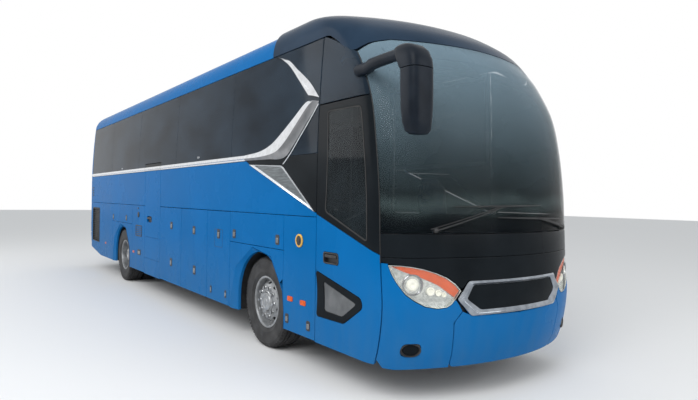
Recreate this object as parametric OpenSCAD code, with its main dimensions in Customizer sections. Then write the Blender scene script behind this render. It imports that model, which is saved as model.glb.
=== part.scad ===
// Two-axle touring coach, 12 m long, with a front and a middle entrance on its right side.
// X points forward, Y to the left and Z up. The origin is on the ground, under the middle of
// the coach's box. Places along the coach are given as distances behind its nose.

/* [Body] */
// Length over the bumpers
body_len = 12000; // [11000:100:15000]
// Width over the side panels
body_w = 2550; // [2400:10:3060]
// Height of the roof above the ground
roof_h = 3650; // [3500:10:4380]
// How far the front cap stands above the roof
cap_rise = 45; // [20:5:60]
// Height of the roof above the top edge of the side glass
roof_depth = 340; // [300:10:420]
// Ground clearance under the side skirts
skirt_h = 340; // [300:10:380]
// Top edge of the luggage and service doors
panel_h = 1550; // [1500:10:1650]
// Lower edge of the side glass
belt_h = 2170; // [2100:10:2300]
// How far the side glass leans in at its top
lean = 55; // [0:5:90]
// Thickness of the side walls
wall = 50; // [40:5:60]
// Thickness of the glass
glass_t = 10; // [6:1:12]
// Gap between panels and round doors
gap = 6; // [5:1:8]
// Radius of the bowed front, seen from above
front_r = 2400; // [2200:50:3200]
// Radius of the front corners, seen from above
corner_r = 350; // [300:10:420]
// Radius of the bowed rear, seen from above
tail_r = 12000; // [9000:500:15000]
// Radius of the rear corners, seen from above
tail_corner_r = 150; // [130:10:180]

/* [Front end] */
// Thickness of the moulded front and rear pieces
mould_t = 40; // [30:5:50]
// Lower edge of the front bumper
bumper_h = 300; // [280:10:340]
// Lower edge of the windshield
sill_h = 1450; // [1400:10:1500]
// Top edge of the windshield, below the roof
shade_drop = 450; // [420:10:500]
// Half width of the grille at its widest
grille_half = 715; // [650:5:760]
// Lower edge of the grille
grille_low = 755; // [720:5:800]
// Top edge of the grille
grille_top = 1055; // [1000:5:1080]

/* [Wheels and axles] */
// Distance between the axles
wheelbase = 6150; // [5900:50:7400]
// Distance from the nose to the front axle
front_overhang = 2680; // [2650:10:2800]
// Outside diameter of the tyres
tyre_d = 1044; // [1000:2:1060]
// Width of the tyres
tyre_w = 290; // [280:5:300]
// Bead seat diameter of the rims
rim_d = 572; // [560:1:580]
// Distance between the middles of the front tyres
front_track = 2080; // [2040:5:2110]
// Distance between the middles of the rear twins
rear_track = 1830; // [1800:5:1850]
// Distance between the two tyres of a twin
twin_pitch = 328; // [320:2:340]
// Radius of the wheel arches
arch_r = 580; // [570:5:600]
// Diameter of the spindles that the wheels turn on
spindle_d = 80; // [70:1:90]
// Diameter of the kingpins
kingpin_d = 46; // [40:1:55]
// Radial running clearance of spindles and pins
run_fit = 0.1; // [0.05:0.01:0.1]

/* [Doors] */
// Front entrance, from the nose to the rear edge of its opening
front_door_rear = 1444; // [1400:2:1480]
// Top edge of the front entrance
front_door_top = 2640; // [2600:10:2700]
// Lower edge of the entrance doors
door_low = 330; // [310:5:360]
// Distance from the middle door's front edge to the rear axle
mid_door_ahead = 2476; // [2440:2:2520]
// Width of the middle door's opening
mid_door_w = 896; // [860:2:940]
// Top edge of the middle door
mid_door_top = 2290; // [2250:10:2340]
// Thickness of the doors
door_t = 44; // [36:1:50]
// Reach of the arms that swing the entrance doors
door_arm = 500; // [460:10:520]
// Diameter of the door arms' columns
column_d = 50; // [40:2:60]
// Width of the service door behind the front wheel
service_w = 764; // [700:2:800]
// Distance from the front axle to the service door
service_behind = 803; // [790:2:830]

/* [Inside] */
// Height of the passenger floor
floor_h = 1300; // [1250:10:1350]
// Height of the driver's platform
platform_h = 900; // [860:10:940]
// Thickness of the floor and of the steps
deck_t = 40; // [30:5:60]
// Distance between seat rows
seat_pitch = 780; // [720:10:900]
// Width of a pair of seats
seat_w = 900; // [860:10:940]
// Height of the seat cushions above the floor
seat_h = 450; // [420:10:480]

/* [Mirrors] */
// How far the right mirror reaches ahead of the nose
mirror_reach = 250; // [200:10:300]
// Half width over both mirrors
mirror_half = 1550; // [1530:5:1552]

/* [Hidden] */
$fn = 64;

nose_x = (body_len - mirror_reach) / 2;
rear_x = nose_x - body_len;
half_w = body_w / 2;
glass_h = roof_h - roof_depth;
shade_h = roof_h - shade_drop;
axle_h = tyre_d / 2;
rear_axle_d = front_overhang + wheelbase;
function back(d) = nose_x - d;

blue = "#1565b0";
black = "#16181c";
dark_glass = "#20262c";
steel = "#8a8f94";
rubber = "#1c1c1d";
frame_grey = "#4a4e52";

// ---- curves ----

// Smooth curve through [place, value] pairs, and where it is at a place
function step_of(p, z, i = 0) = i >= len(p) - 2 || z < p[i + 1][0] ? i : step_of(p, z, i + 1);
function slope_of(p, i) =
    let (a = max(i - 1, 0), b = min(i + 1, len(p) - 1))
    (p[b][1] - p[a][1]) / (p[b][0] - p[a][0]);
function smooth(p, z) =
    let (
        i = step_of(p, z),
        h = p[i + 1][0] - p[i][0],
        t = min(max((z - p[i][0]) / h, 0), 1)
    )
    (2 * t ^ 3 - 3 * t ^ 2 + 1) * p[i][1] + (t ^ 3 - 2 * t ^ 2 + t) * h * slope_of(p, i)
    + (3 * t ^ 2 - 2 * t ^ 3) * p[i + 1][1] + (t ^ 3 - t ^ 2) * h * slope_of(p, i + 1);

// How far the nose's middle line lies behind its front-most point, by height
nose_curve = [[bumper_h - 30, 120], [470, 47], [800, 0], [1140, 24], [sill_h + 20, 41],
    [1800, 59], [2250, 117], [roof_h - 1020, 207], [roof_h - 680, 386], [roof_h - 530, 500],
    [roof_h - 350, 660], [roof_h - 250, 800], [roof_h - 150, 985], [roof_h - 50, 1280],
    [roof_h + cap_rise - 30, 1620], [roof_h + cap_rise, 2050]];
// How far the tail's middle line lies ahead of its rearmost point, by height
tail_curve = [[450, 110], [800, 15], [1200, 0], [2200, 8], [roof_h - 750, 35],
    [roof_h - 360, 80], [roof_h - 250, 130], [roof_h - 150, 230], [roof_h - 60, 420],
    [roof_h, 850]];

// Half width of the body at a height; the roof is a rounded arch up to its top
function half_at(z, top = roof_h) =
    z <= belt_h ? half_w :
    z <= glass_h ? half_w - lean * ((z - belt_h) / (glass_h - belt_h)) ^ 1.5 :
    (half_w - lean) * (1 - min((z - glass_h) / (top - glass_h), 1) ^ 2.2) ^ (1 / 8);
function arch_at(y, top = roof_h) =
    glass_h + (top - glass_h) * (1 - min(abs(y) / (half_w - lean), 1) ^ 8) ^ (1 / 2.2);

// Plan outline of an end: a bow of radius R rounded into the sides with radius r.
// A place on it is given by its length u along the outline from the middle line.
function turn_of(R, r) = asin((half_w - r) / (R - r));
function depth_of(R, r) = R - sqrt((R - r) ^ 2 - (half_w - r) ^ 2);
function bow_of(R, r) = R * turn_of(R, r) * PI / 180;
function bend_of(R, r) = bow_of(R, r) + r * (90 - turn_of(R, r)) * PI / 180;
function outline(R, r, u, off) =
    let (v = abs(u), s = u < 0 ? -1 : 1)
    v <= bow_of(R, r) ?
        let (a = v / R * 180 / PI) [R - (R - off) * cos(a), s * (R - off) * sin(a)] :
    v <= bend_of(R, r) ?
        let (a = turn_of(R, r) + (v - bow_of(R, r)) / r * 180 / PI)
        [depth_of(R, r) - (r - off) * cos(a), s * (half_w - r + (r - off) * sin(a))] :
        [depth_of(R, r) + v - bend_of(R, r), s * (half_w - off)];

// A point of the front, u to the left of the middle line and off inside the surface
function front_at(u, z, off = 0) =
    let (p = outline(front_r, corner_r, u, off))
    [back(smooth(nose_curve, z) + p[0]), p[1] * half_at(z, roof_h + cap_rise) / half_w, z];
// The outline length at which the side is d behind the nose
function side_u(d, z) = bend_of(front_r, corner_r) + d - depth_of(front_r, corner_r)
    - smooth(nose_curve, z);
// A point of the tail, u to the right of the middle line
function tail_at(u, z, off = 0) =
    let (p = outline(tail_r, tail_corner_r, u, off))
    [rear_x + smooth(tail_curve, z) + p[0], -p[1] * half_at(z) / half_w, z];
function tail_u(d, z) = bend_of(tail_r, tail_corner_r) + d - depth_of(tail_r, tail_corner_r)
    - smooth(tail_curve, z);

function blend(a, b, t) = a + (b - a) * t;

// ---- shells ----

// Closed shell over a grid of points, outside and inside, rows first. Cells for which
// open(column, row) is true are left out. A lid closes the top row from side to side.
module shell(outside, inside, open = function (i, j) false, lid = false) {
    n = len(outside[0]);
    m = len(outside);
    all = concat([for (row = outside) each row], [for (row = inside) each row]);
    half = n * m;
    function o(i, j) = j * n + i;
    function k(i, j) = half + j * n + i;
    function kept(i, j) = i >= 0 && j >= 0 && i < n - 1 && j < m - 1 && !open(i, j);
    quads = concat(
        [for (j = [0:m - 2], i = [0:n - 2]) if (kept(i, j)) each [
            [o(i, j), o(i, j + 1), o(i + 1, j + 1), o(i + 1, j)],
            [k(i, j), k(i + 1, j), k(i + 1, j + 1), k(i, j + 1)]]],
        [for (j = [0:m - 2], i = [0:n - 2]) if (kept(i, j)) each concat(
            kept(i, j - 1) ? [] : [[o(i, j), o(i + 1, j), k(i + 1, j), k(i, j)]],
            kept(i, j + 1) || (lid && j == m - 2) ? [] :
                [[o(i + 1, j + 1), o(i, j + 1), k(i, j + 1), k(i + 1, j + 1)]],
            kept(i - 1, j) ? [] : [[o(i, j + 1), o(i, j), k(i, j), k(i, j + 1)]],
            kept(i + 1, j) ? [] :
                [[o(i + 1, j), o(i + 1, j + 1), k(i + 1, j + 1), k(i + 1, j)]])],
        lid ? concat(
            [for (i = [0:(n - 1) / 2 - 1]) each [
                [o(i + 1, m - 1), o(i, m - 1), o(n - 1 - i, m - 1), o(n - 2 - i, m - 1)],
                [k(i + 1, m - 1), k(n - 2 - i, m - 1), k(n - 1 - i, m - 1), k(i, m - 1)]]],
            [[o(n - 1, m - 1), o(0, m - 1), k(0, m - 1), k(n - 1, m - 1)]]) : []);
    faces = [for (q = quads) each [[q[0], q[1], q[2]], [q[0], q[2], q[3]]]];
    polyhedron(all, [for (f = faces) if (f[0] != f[1] && f[1] != f[2] && f[2] != f[0]) f]);
}

// Panel between two edges, each a length along the outline or a function of the height,
// and between a lower and an upper edge that are functions of the length
function edge(e, z) = is_function(e) ? e(z) : e;
function skin_grid(point, e0, e1, low, high, cols, rows, mid, off) =
    [for (j = [0:rows]) [for (i = [0:cols]) let (
        s = i / cols,
        u = blend(edge(e0, mid), edge(e1, mid), s),
        z = blend(low(u), high(u), j / rows)
    ) point(blend(edge(e0, z), edge(e1, z), s), z, off)]];
module front_skin(e0, e1, low, high, t, cols, rows, mid = 1000)
    shell(skin_grid(function (u, z, o) front_at(u, z, o), e0, e1, low, high, cols, rows, mid, 0),
        skin_grid(function (u, z, o) front_at(u, z, o), e0, e1, low, high, cols, rows, mid, t));
module tail_skin(e0, e1, low, high, t, cols, rows, mid = 1000)
    shell(skin_grid(function (u, z, o) tail_at(u, z, o), e0, e1, low, high, cols, rows, mid, 0),
        skin_grid(function (u, z, o) tail_at(u, z, o), e0, e1, low, high, cols, rows, mid, t));
function flat(h) = function (u) h;

// ---- straight pieces ----

module prism_x(x0, x1) translate([x0, 0, 0]) rotate([90, 0, 90]) linear_extrude(x1 - x0) children();
module prism_y(y0, y1) translate([0, y1, 0]) rotate([90, 0, 0]) linear_extrude(y1 - y0) children();
module block(x0, x1, y0, y1, z0, z1)
    translate([x0, y0, z0]) cube([x1 - x0, y1 - y0, z1 - z0]);
// Draws for the left side, or mirrored for the right side
module on_side(left) { if (left) children(); else mirror([0, 1, 0]) children(); }
// Both sides
module both_sides() { children(); mirror([0, 1, 0]) children(); }
module bar_y(d, y0, y1) translate([0, y1, 0]) rotate([90, 0, 0]) cylinder(d = d, h = y1 - y0);

// Strip of the left side, seen from the front, between two depths inside its surface
side_steps = 5;
module side_strip(z0, z1, t0, t1) {
    zs = concat([z0], [for (i = [0:side_steps]) let (z = blend(belt_h, glass_h, i / side_steps))
        if (z > z0 + 1 && z < z1 - 1) z], [z1]);
    polygon(concat([for (z = zs) [half_at(z) - t0, z]],
        [for (i = [len(zs) - 1:-1:0]) [half_at(zs[i]) - t1, zs[i]]]));
}

// ---- where the openings are ----

door_u = 1380;
door_edge = door_u + gap / 2;
mid_door_front = rear_axle_d - mid_door_ahead;
mid_door_rear = mid_door_front + mid_door_w;
service_front = front_overhang + service_behind;
service_rear = service_front + service_w;
bay_rear = rear_axle_d - 762;
corner_len = 290;
side_rear_d = body_len - corner_len;
side_front_d = front_door_rear + gap;
window_pitch = 2100;
first_joint = 3490;
glass_joints = [for (d = [first_joint:window_pitch:side_rear_d - 1200]) d];
right_bays = [for (i = [0:1]) [blend(service_rear, mid_door_front, i / 2),
    blend(service_rear, mid_door_front, (i + 1) / 2)]];
left_bays = [for (i = [0:2]) [blend(service_rear, bay_rear, i / 3),
    blend(service_rear, bay_rear, (i + 1) / 3)]];
bay_low = skirt_h + 10;
cab_sill = 1600;

module arch_cut() for (d = [front_overhang, rear_axle_d]) {
    translate([back(d), 0, axle_h]) bar_y(2 * arch_r, half_w - wall - 10, half_w + 10);
    block(back(d + arch_r), back(d - arch_r), half_w - wall - 10, half_w + 10,
        skirt_h - 10, axle_h);
}
// Opening of a door, from the front edge f to the rear edge r
module door_cut(f, r, z0, z1)
    block(back(r), back(f), half_w - wall - lean - 40, half_w + 10, z0, z1);
// Windows of a side: the glass lies in a recess, with an opening behind each pane
glass_low = belt_h + 4;
glass_top = glass_h - 4;
pillar = 110;
frame_edge = 60;
pane_edges = concat([side_front_d], glass_joints, [side_rear_d]);
module window_cut() {
    prism_x(back(side_rear_d) - 20, back(side_front_d) + 10)
        side_strip(glass_low, glass_top, -20, glass_t + 2);
    for (i = [0:len(pane_edges) - 2])
        prism_x(back(pane_edges[i + 1] - pillar / 2), back(pane_edges[i] + pillar / 2))
            side_strip(glass_low + frame_edge, glass_top - frame_edge, -10, wall + 10);
}
module panes() for (i = [0:len(pane_edges) - 2])
    prism_x(back(pane_edges[i + 1]) + gap / 2, back(pane_edges[i]) - gap / 2)
        side_strip(glass_low + 2, glass_top - 2, 0, glass_t);
// The skirt rises towards the tail, so that the overhang clears a ramp
ramp_start = rear_axle_d + 1900;
ramp_rise = 130;
module ramp_cut() prism_y(half_w - wall - 10, half_w + 10)
    polygon([[back(ramp_start), skirt_h - 10], [rear_x - 10, skirt_h - 10],
        [rear_x - 10, skirt_h + ramp_rise], [back(side_rear_d), skirt_h + ramp_rise],
        [back(ramp_start), skirt_h]]);

// ---- body ----

module side_wall() difference() {
    prism_x(back(side_rear_d), back(side_front_d)) side_strip(skirt_h, glass_h, 0, wall);
    window_cut();
    arch_cut();
    ramp_cut();
    children();
}
module right_wall() color(blue) on_side(false) side_wall() {
    door_cut(mid_door_front - gap, mid_door_rear + gap, 0, mid_door_top + gap);
    for (b = right_bays) door_cut(b[0] + gap, b[1] - gap, 0, panel_h);
    door_cut(service_front, service_rear - gap, 0, panel_h);
}
module left_wall() color(blue) on_side(true) side_wall() {
    for (b = left_bays) door_cut(b[0] + gap, b[1] - gap, 0, panel_h);
}
// Panel of a front corner, from the windshield's edge to the first wall post
corner_mid = 2600;
module corner_skin(left, low, high, t, cols, rows) {
    post = function (z) side_u(front_door_rear, z);
    facing = function (z) -post(z);
    front_skin(left ? door_edge : facing, left ? post : -door_edge, low, high, t, cols, rows, corner_mid);
}
module driver_side_panel() color(blue)
    corner_skin(true, flat(door_low), flat(cab_sill - gap / 2), wall, 10, 8);

roof_front = 2500;
roof_rear = body_len - 1200;
roof_t = 60;
module roof() color(blue) {
    rows = 4;
    cols = 28;
    // columns crowd towards the edges, where the roof turns down
    across = [for (i = [0:cols]) let (s = 2 * i / cols - 1)
        sign(s) * (1 - (1 - abs(s)) ^ 1.8)];
    low = glass_h + gap / 2;
    grid = function (t) [for (j = [0:rows]) [for (s = across) let (
        d = blend(roof_front + gap / 2, roof_rear - gap / 2, j / rows)
    ) [back(d), -s * (half_w - lean - t), max(arch_at(s * (half_w - lean)) - t, low)]]];
    shell(grid(0), grid(roof_t));
}

// Lower edge of the front cap: it dips at the corners and then follows the side glass
cap_dip = [[0, 0], [1000, -8], [1200, -50], [1380, -130], [1480, -60], [1580, 40],
    [1680, shade_drop - roof_depth + 3]];
function cap_edge(u) = shade_h + lookup(abs(u), cap_dip);
// Upper edge of a corner pane under the cap, at the length that it has at the height corner_mid
function pane_edge(s, z = shade_h, n = 10) = n == 0 ? z : pane_edge(s,
    (z + cap_edge(blend(door_edge, side_u(front_door_rear, z), s)) - gap / 2) / 2, n - 1);
function pane_top(u) = pane_edge((abs(u) - door_edge)
    / (side_u(front_door_rear, corner_mid) - door_edge));
module front_cap() color(black) {
    rows = 12;
    top = roof_h + cap_rise - 3;
    end = function (z) side_u(roof_front - gap / 2, z);
    last = end(glass_h + gap / 2);
    // columns stand at every turn of the lower edge
    right = concat([for (u = [150:150:900]) u], [for (p = cap_dip) if (p[0] > 0) each p[0] < 1200 ?
        [p[0]] : [p[0] - 50, p[0]]], [for (f = [0.25, 0.5, 0.75, 1]) blend(1680, last, f)]);
    cols = concat([for (i = [len(right) - 1:-1:0]) -right[i]], [0], right);
    grid = function (t) [for (j = [0:rows]) [for (u = cols) let (
        edge = cap_edge(u) + gap / 2,
        z = blend(edge, top, 1 - (1 - j / rows) ^ 2),
        p = front_at(u / end(edge) * end(z), z, t)
    ) [p[0], p[1], z - (t > 0 ? t * (j / rows) ^ 2 : 0)]]];
    shell(grid(0), grid(mould_t), lid = true);
}

// Openings of the tail: engine door, rear window and lamps
engine_door_half = 800;
engine_door_low = 830;
engine_door_high = 1780;
rear_window_half = 960;
rear_window_low = 2230;
rear_window_high = 3060;
lamp_in = 900;
lamp_out = 1170;
lamp_low = 900;
lamp_high = 1640;
tail_seam = corner_len - gap;
tail_eaves = glass_h + gap / 2;
module rear_wall() color(blue) {
    // columns: places along the side, shares of the corner and lengths on the bow
    edges = concat([["side", tail_seam]],
        [for (f = [0.75, 0.5, 0.25]) ["corner", f]],
        [for (u = [lamp_out, rear_window_half, lamp_in, engine_door_half, 400]) ["bow", u]]);
    cols = concat([for (e = edges) [-1, e[0], e[1]]], [[1, "bow", 0]],
        [for (i = [len(edges) - 1:-1:0]) [1, edges[i][0], edges[i][1]]]);
    zs = [engine_door_low, lamp_low, 1270, lamp_high, engine_door_high, 2000, rear_window_low, 2640,
        rear_window_high, tail_eaves - gap];
    place = function (c, z) c[0] * (c[1] == "side" ? tail_u(c[2], z) : c[1] == "bow" ? c[2] :
        blend(lamp_out, tail_u(tail_seam, z), c[2]));
    grid = function (t) [for (z = zs) [for (c = cols) tail_at(place(c, z), z, t)]];
    within = function (i, j, in, out, low, high)
        min(abs(place(cols[i], zs[j])), abs(place(cols[i + 1], zs[j]))) >= in - 1
        && max(abs(place(cols[i], zs[j])), abs(place(cols[i + 1], zs[j]))) <= out + 1
        && zs[j] >= low && zs[j + 1] <= high;
    open = function (i, j)
        within(i, j, 0, engine_door_half, 0, engine_door_high)
        || within(i, j, 0, rear_window_half, rear_window_low, rear_window_high)
        || within(i, j, lamp_in, lamp_out, lamp_low, lamp_high);
    shell(grid(0), grid(mould_t), open);
}
// The roof's tail, which turns down behind the last roof panel
module tail_dome() color(blue) {
    rows = 7;
    top = roof_h - 2;
    cols = [for (s = [-1, -0.88, -0.78, -0.68, -0.6, -0.5, -0.36, -0.18, 0, 0.18, 0.36, 0.5, 0.6, 0.68,
        0.78, 0.88, 1]) s];
    grid = function (t) [for (j = [0:rows]) [for (s = cols) let (
        f = 1 - (1 - j / rows) ^ 2,
        z = blend(tail_eaves, top, f),
        p = tail_at(s * tail_u(body_len - roof_rear - gap / 2, z), z, t)
    ) [p[0], p[1], z - (t > 0 ? t * (j / rows) ^ 2 : 0)]]];
    shell(grid(0), grid(mould_t), lid = true);
}
module rear_window() color(dark_glass) tail_skin(-rear_window_half + gap, rear_window_half - gap,
    flat(rear_window_low + gap), flat(rear_window_high - gap), glass_t, 12, 6);
module rear_bumper() color(blue) tail_skin(function (z) -tail_u(tail_seam, z),
    function (z) tail_u(tail_seam, z), flat(skirt_h + ramp_rise + 10), flat(engine_door_low - gap),
    mould_t, 36, 4);
module engine_door() color(blue) tail_skin(-engine_door_half + gap, engine_door_half - gap,
    flat(engine_door_low + gap), flat(engine_door_high - gap), mould_t, 12, 8);
module tail_lights() color("#8f1414") for (s = [-1, 1])
    tail_skin(s < 0 ? -lamp_out + 3 : lamp_in + 3, s < 0 ? -lamp_in - 3 : lamp_out - 3,
        flat(lamp_low + 3), flat(lamp_high - 3), mould_t, 5, 6);

// ---- front ----

grille_tip = 905;
grille_edge = [[0, grille_top], [grille_half - 115, grille_top - 8], [grille_half, grille_tip]];
grille_sole = [[0, grille_low], [grille_half - 150, grille_low + 8], [grille_half - 40, grille_low + 70],
    [grille_half, grille_tip - 30]];
lamp_tip = 677;
light_end = 1310;
light_top = [[lamp_tip, 985], [803, 1086], [1007, 1156], [light_end, 1192]];
light_sole = [[lamp_tip, 962], [736, 902], [815, 836], [1007, 852], [1173, 952], [1245, 1048],
    [light_end, 1180]];
function light_top_at(u) = lookup(abs(u), light_top);
function light_sole_at(u) = lookup(abs(u), light_sole);
// The black panel over grille and lamps, and the blue bumper under them
nose_line = concat([for (p = grille_edge) if (p[0] < lamp_tip) [p[0], p[1] + gap]],
    [for (p = light_top) [p[0], p[1] + gap]], [[door_u, 1208 + gap]]);
nose_end = door_u - gap / 2;
module front_panel() color(black) front_skin(-nose_end, nose_end,
    function (u) lookup(abs(u), nose_line), flat(sill_h - gap / 2), mould_t, 48, 4);
module windshield() color(dark_glass) front_skin(-nose_end, nose_end,
    flat(sill_h + gap / 2), function (u) cap_edge(u) - gap / 2, glass_t, 54, 12);
// Seam between the bumper's middle and its corners, by height
seam_top = 664;
bumper_seam = [[bumper_h, 706], [704, 740], [799, seam_top]];
corner_line = concat([[seam_top, 799], [712, 862]], [for (p = light_sole) if (p[0] > 730)
    [p[0], p[1] - gap]], [[door_u, 1208 - gap]]);
seam_rows = 5;
module front_bumper() color(blue) {
    right_seam = function (z) gap / 2 - lookup(z, bumper_seam);
    left_seam = function (z) -right_seam(z);
    front_skin(right_seam, left_seam, flat(bumper_h), function (u) lookup(abs(u), grille_sole) - gap,
        mould_t, 24, seam_rows, 900);
    for (s = [-1, 1]) {
        seam = function (z) s * (lookup(z, bumper_seam) + gap / 2);
        front_skin(s < 0 ? -nose_end : seam, s < 0 ? seam : nose_end, flat(bumper_h),
            function (u) lookup(abs(u), corner_line), mould_t, 16, seam_rows, 900);
    }
}
module grille() color(black) front_skin(-grille_half, grille_half,
    function (u) lookup(abs(u), grille_sole), function (u) lookup(abs(u), grille_edge), mould_t, 32, 4);
module headlights() color("#c9d2d8") for (s = [-1, 1])
    front_skin(s < 0 ? -light_end : lamp_tip, s < 0 ? -lamp_tip : light_end,
        function (u) light_sole_at(u), function (u) light_top_at(u), mould_t, 20, 4);

// Side glass, with the curved panes of the front corners
module right_windows() color(dark_glass) {
    on_side(false) difference() {
        panes();
        door_cut(mid_door_front - gap, mid_door_rear + gap, 0, mid_door_top + gap);
    }
    corner_skin(false, function (u) front_door_top + gap, function (u) pane_top(u),
        glass_t, 24, 5);
}
module left_windows() color(dark_glass) {
    on_side(true) panes();
    corner_skin(true, function (u) cab_sill + gap / 2, function (u) pane_top(u),
        glass_t, 24, 10);
}

// ---- entrance doors ----

column_y = half_w - 105;
front_column_d = 740;
arm_t = 30;
arm_w = 44;
pin_d = 24;
boss_d = 52;
front_arm_zs = [500, 2400];
mid_arm_zs = [600, 2100];
// Bracket of a door around its arm's pin, reaching in from the leaf
module door_bracket(d, z) difference() {
    union() {
        translate([back(d), column_y, z + arm_t + 2]) cylinder(d = boss_d, h = 40);
        block(back(d) - boss_d / 2, back(d) + boss_d / 2, column_y, half_w - door_t + 5,
            z + arm_t + 2, z + arm_t + 42);
    }
    translate([back(d), column_y, z]) cylinder(d = pin_d + 2 * run_fit, h = 120);
}
// Column with two arms, whose pins carry the door; reach is positive to the rear
module door_column(d, reach, zs) {
    translate([back(d), column_y, zs[0] - 60]) cylinder(d = column_d, h = zs[1] - zs[0] + 120);
    for (z = zs) {
        block(min(back(d), back(d + reach)), max(back(d), back(d + reach)),
            column_y - arm_w / 2, column_y + arm_w / 2, z, z + arm_t);
        translate([back(d + reach), column_y, z]) cylinder(d = arm_w, h = arm_t);
        translate([back(d + reach), column_y, z]) cylinder(d = pin_d, h = arm_t + 50);
    }
}
module front_door() color(blue) {
    corner_skin(false, function (u) door_low, function (u) front_door_top, door_t, 12, 14);
    on_side(false) for (z = front_arm_zs) door_bracket(front_column_d + door_arm, z);
}
module front_door_arm() color(frame_grey) on_side(false)
    door_column(front_column_d, door_arm, front_arm_zs);
mid_column_d = mid_door_rear - 140;
mid_arm = 420;
module mid_door() color(blue) on_side(false) {
    prism_x(back(mid_door_rear), back(mid_door_front)) side_strip(door_low, mid_door_top, 0, door_t);
    for (z = mid_arm_zs) door_bracket(mid_column_d - mid_arm, z);
}
module mid_door_arm() color(frame_grey) on_side(false) door_column(mid_column_d, -mid_arm, mid_arm_zs);

// ---- luggage and service doors ----

module side_door(left, f, r) on_side(left) block(back(r) + gap + gap, back(f) - gap - gap,
    half_w - door_t, half_w, bay_low, panel_h - gap);
module right_luggage_door_front() color(blue) side_door(false, right_bays[0][0], right_bays[0][1]);
module right_luggage_door_rear() color(blue) side_door(false, right_bays[1][0], right_bays[1][1]);
module right_service_door() color(blue) side_door(false, service_front, service_rear);
module left_luggage_door_front() color(blue) side_door(true, left_bays[0][0], left_bays[0][1]);
module left_luggage_door_middle() color(blue) side_door(true, left_bays[1][0], left_bays[1][1]);
module left_luggage_door_rear() color(blue) side_door(true, left_bays[2][0], left_bays[2][1]);

// ---- structure ----

house_len = 640;
house_in = 520;
house_top = 1140;
sheet = 30;
inner_half = half_w - wall - 10;
deck_under = floor_h - deck_t;
hold_front = front_overhang + house_len;
hold_rear = rear_axle_d - house_len;
hold_floor = 400;
module underbody() color(frame_grey) {
    block(back(hold_rear), back(hold_front), -inner_half, inner_half, hold_floor, hold_floor + deck_t);
    for (d = [hold_front, hold_rear - sheet, service_rear - sheet / 2])
        block(back(d + sheet), back(d), -inner_half, inner_half, hold_floor, deck_under);
    for (d = [front_overhang, rear_axle_d]) both_sides() {
        block(back(d + house_len), back(d - house_len), house_in, inner_half, house_top, house_top + sheet);
        block(back(d + house_len), back(d - house_len), house_in, house_in + sheet, 800, house_top);
        for (x = [d - house_len, d + house_len - sheet])
            block(back(x + sheet), back(x), house_in, inner_half, 450, house_top);
    }
}
rail_in = 380;
rail_w = 80;
rail_h = 140;
rail_z = 720;
front_rail_d = 420;
rear_rail_d = body_len - 420;
module chassis_frame() color(frame_grey) {
    for (r = [[front_rail_d, hold_front], [hold_rear, rear_rail_d]]) {
        both_sides() block(back(r[1]), back(r[0]), rail_in, rail_in + rail_w, rail_z, rail_z + rail_h);
    }
    for (d = [front_rail_d, front_overhang - 700, front_overhang + 500, hold_rear + 60,
        blend(rear_axle_d, engine_front, 0.5), rear_rail_d - rail_w])
        block(back(d + rail_w), back(d), -rail_in, rail_in, rail_z, rail_z + rail_h);
    // towing bracket under the tail
    difference() {
        block(back(rear_rail_d), back(rear_rail_d - rail_w), -60, 60, tow_z - 50, rail_z);
        translate([back(rear_rail_d) - 10, 0, tow_z]) rotate([0, 90, 0])
            cylinder(d = tow_bore, h = rail_w + 20);
    }
}
tow_z = 430;
tow_bore = 40;

stair_d = [620, front_door_rear - 20];
entry_steps = [[-inner_half, -900, 380], [-900, -620, 640], [-620, -340, platform_h]];
mid_steps = [[-inner_half, -970, 520], [-970, -720, 780], [-720, -470, 1040]];
module stairs(f, r, steps, last) {
    for (i = [0:len(steps) - 1]) {
        block(back(r), back(f), steps[i][0], steps[i][1], steps[i][2] - deck_t, steps[i][2]);
        next = i < len(steps) - 1 ? steps[i + 1][2] : last;
        if (next > steps[i][2])
            block(back(r), back(f), steps[i][1] - sheet, steps[i][1], steps[i][2] - deck_t, next);
    }
}
platform_front = 560;
platform_rear = front_overhang - house_len - sheet - 10;
module floor() color("#5a5d61") {
    difference() {
        block(rear_x + 340, back(platform_rear), -inner_half, inner_half, deck_under, floor_h);
        block(back(mid_door_rear - 10), back(mid_door_front + 10), -inner_half - 10, -470,
            deck_under - 10, floor_h + 10);
    }
    block(back(platform_rear), back(platform_front), -340, inner_half, platform_h - deck_t, platform_h);
    block(back(platform_rear), back(platform_rear) + sheet, -340, inner_half, platform_h - deck_t, floor_h);
    block(back(platform_rear), back(front_door_rear + 10), -inner_half, -340, deck_under, floor_h);
}
module front_stairs() color("#5a5d61") stairs(stair_d[0], stair_d[1], entry_steps, platform_h);
module middle_stairs() color("#5a5d61")
    stairs(mid_door_front + 10, mid_door_rear - 10, mid_steps, floor_h);
// The engine fills the rear half of the space between the rear axle and the tail
engine_tail = 150;
engine_share = 0.51;
engine_front = blend(rear_axle_d, rear_rail_d, engine_share);
module engine() color(steel) block(back(rear_rail_d - engine_tail), back(engine_front),
    -rail_in + 10, rail_in - 10, 500, deck_under - 60);

// ---- inside ----

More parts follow.
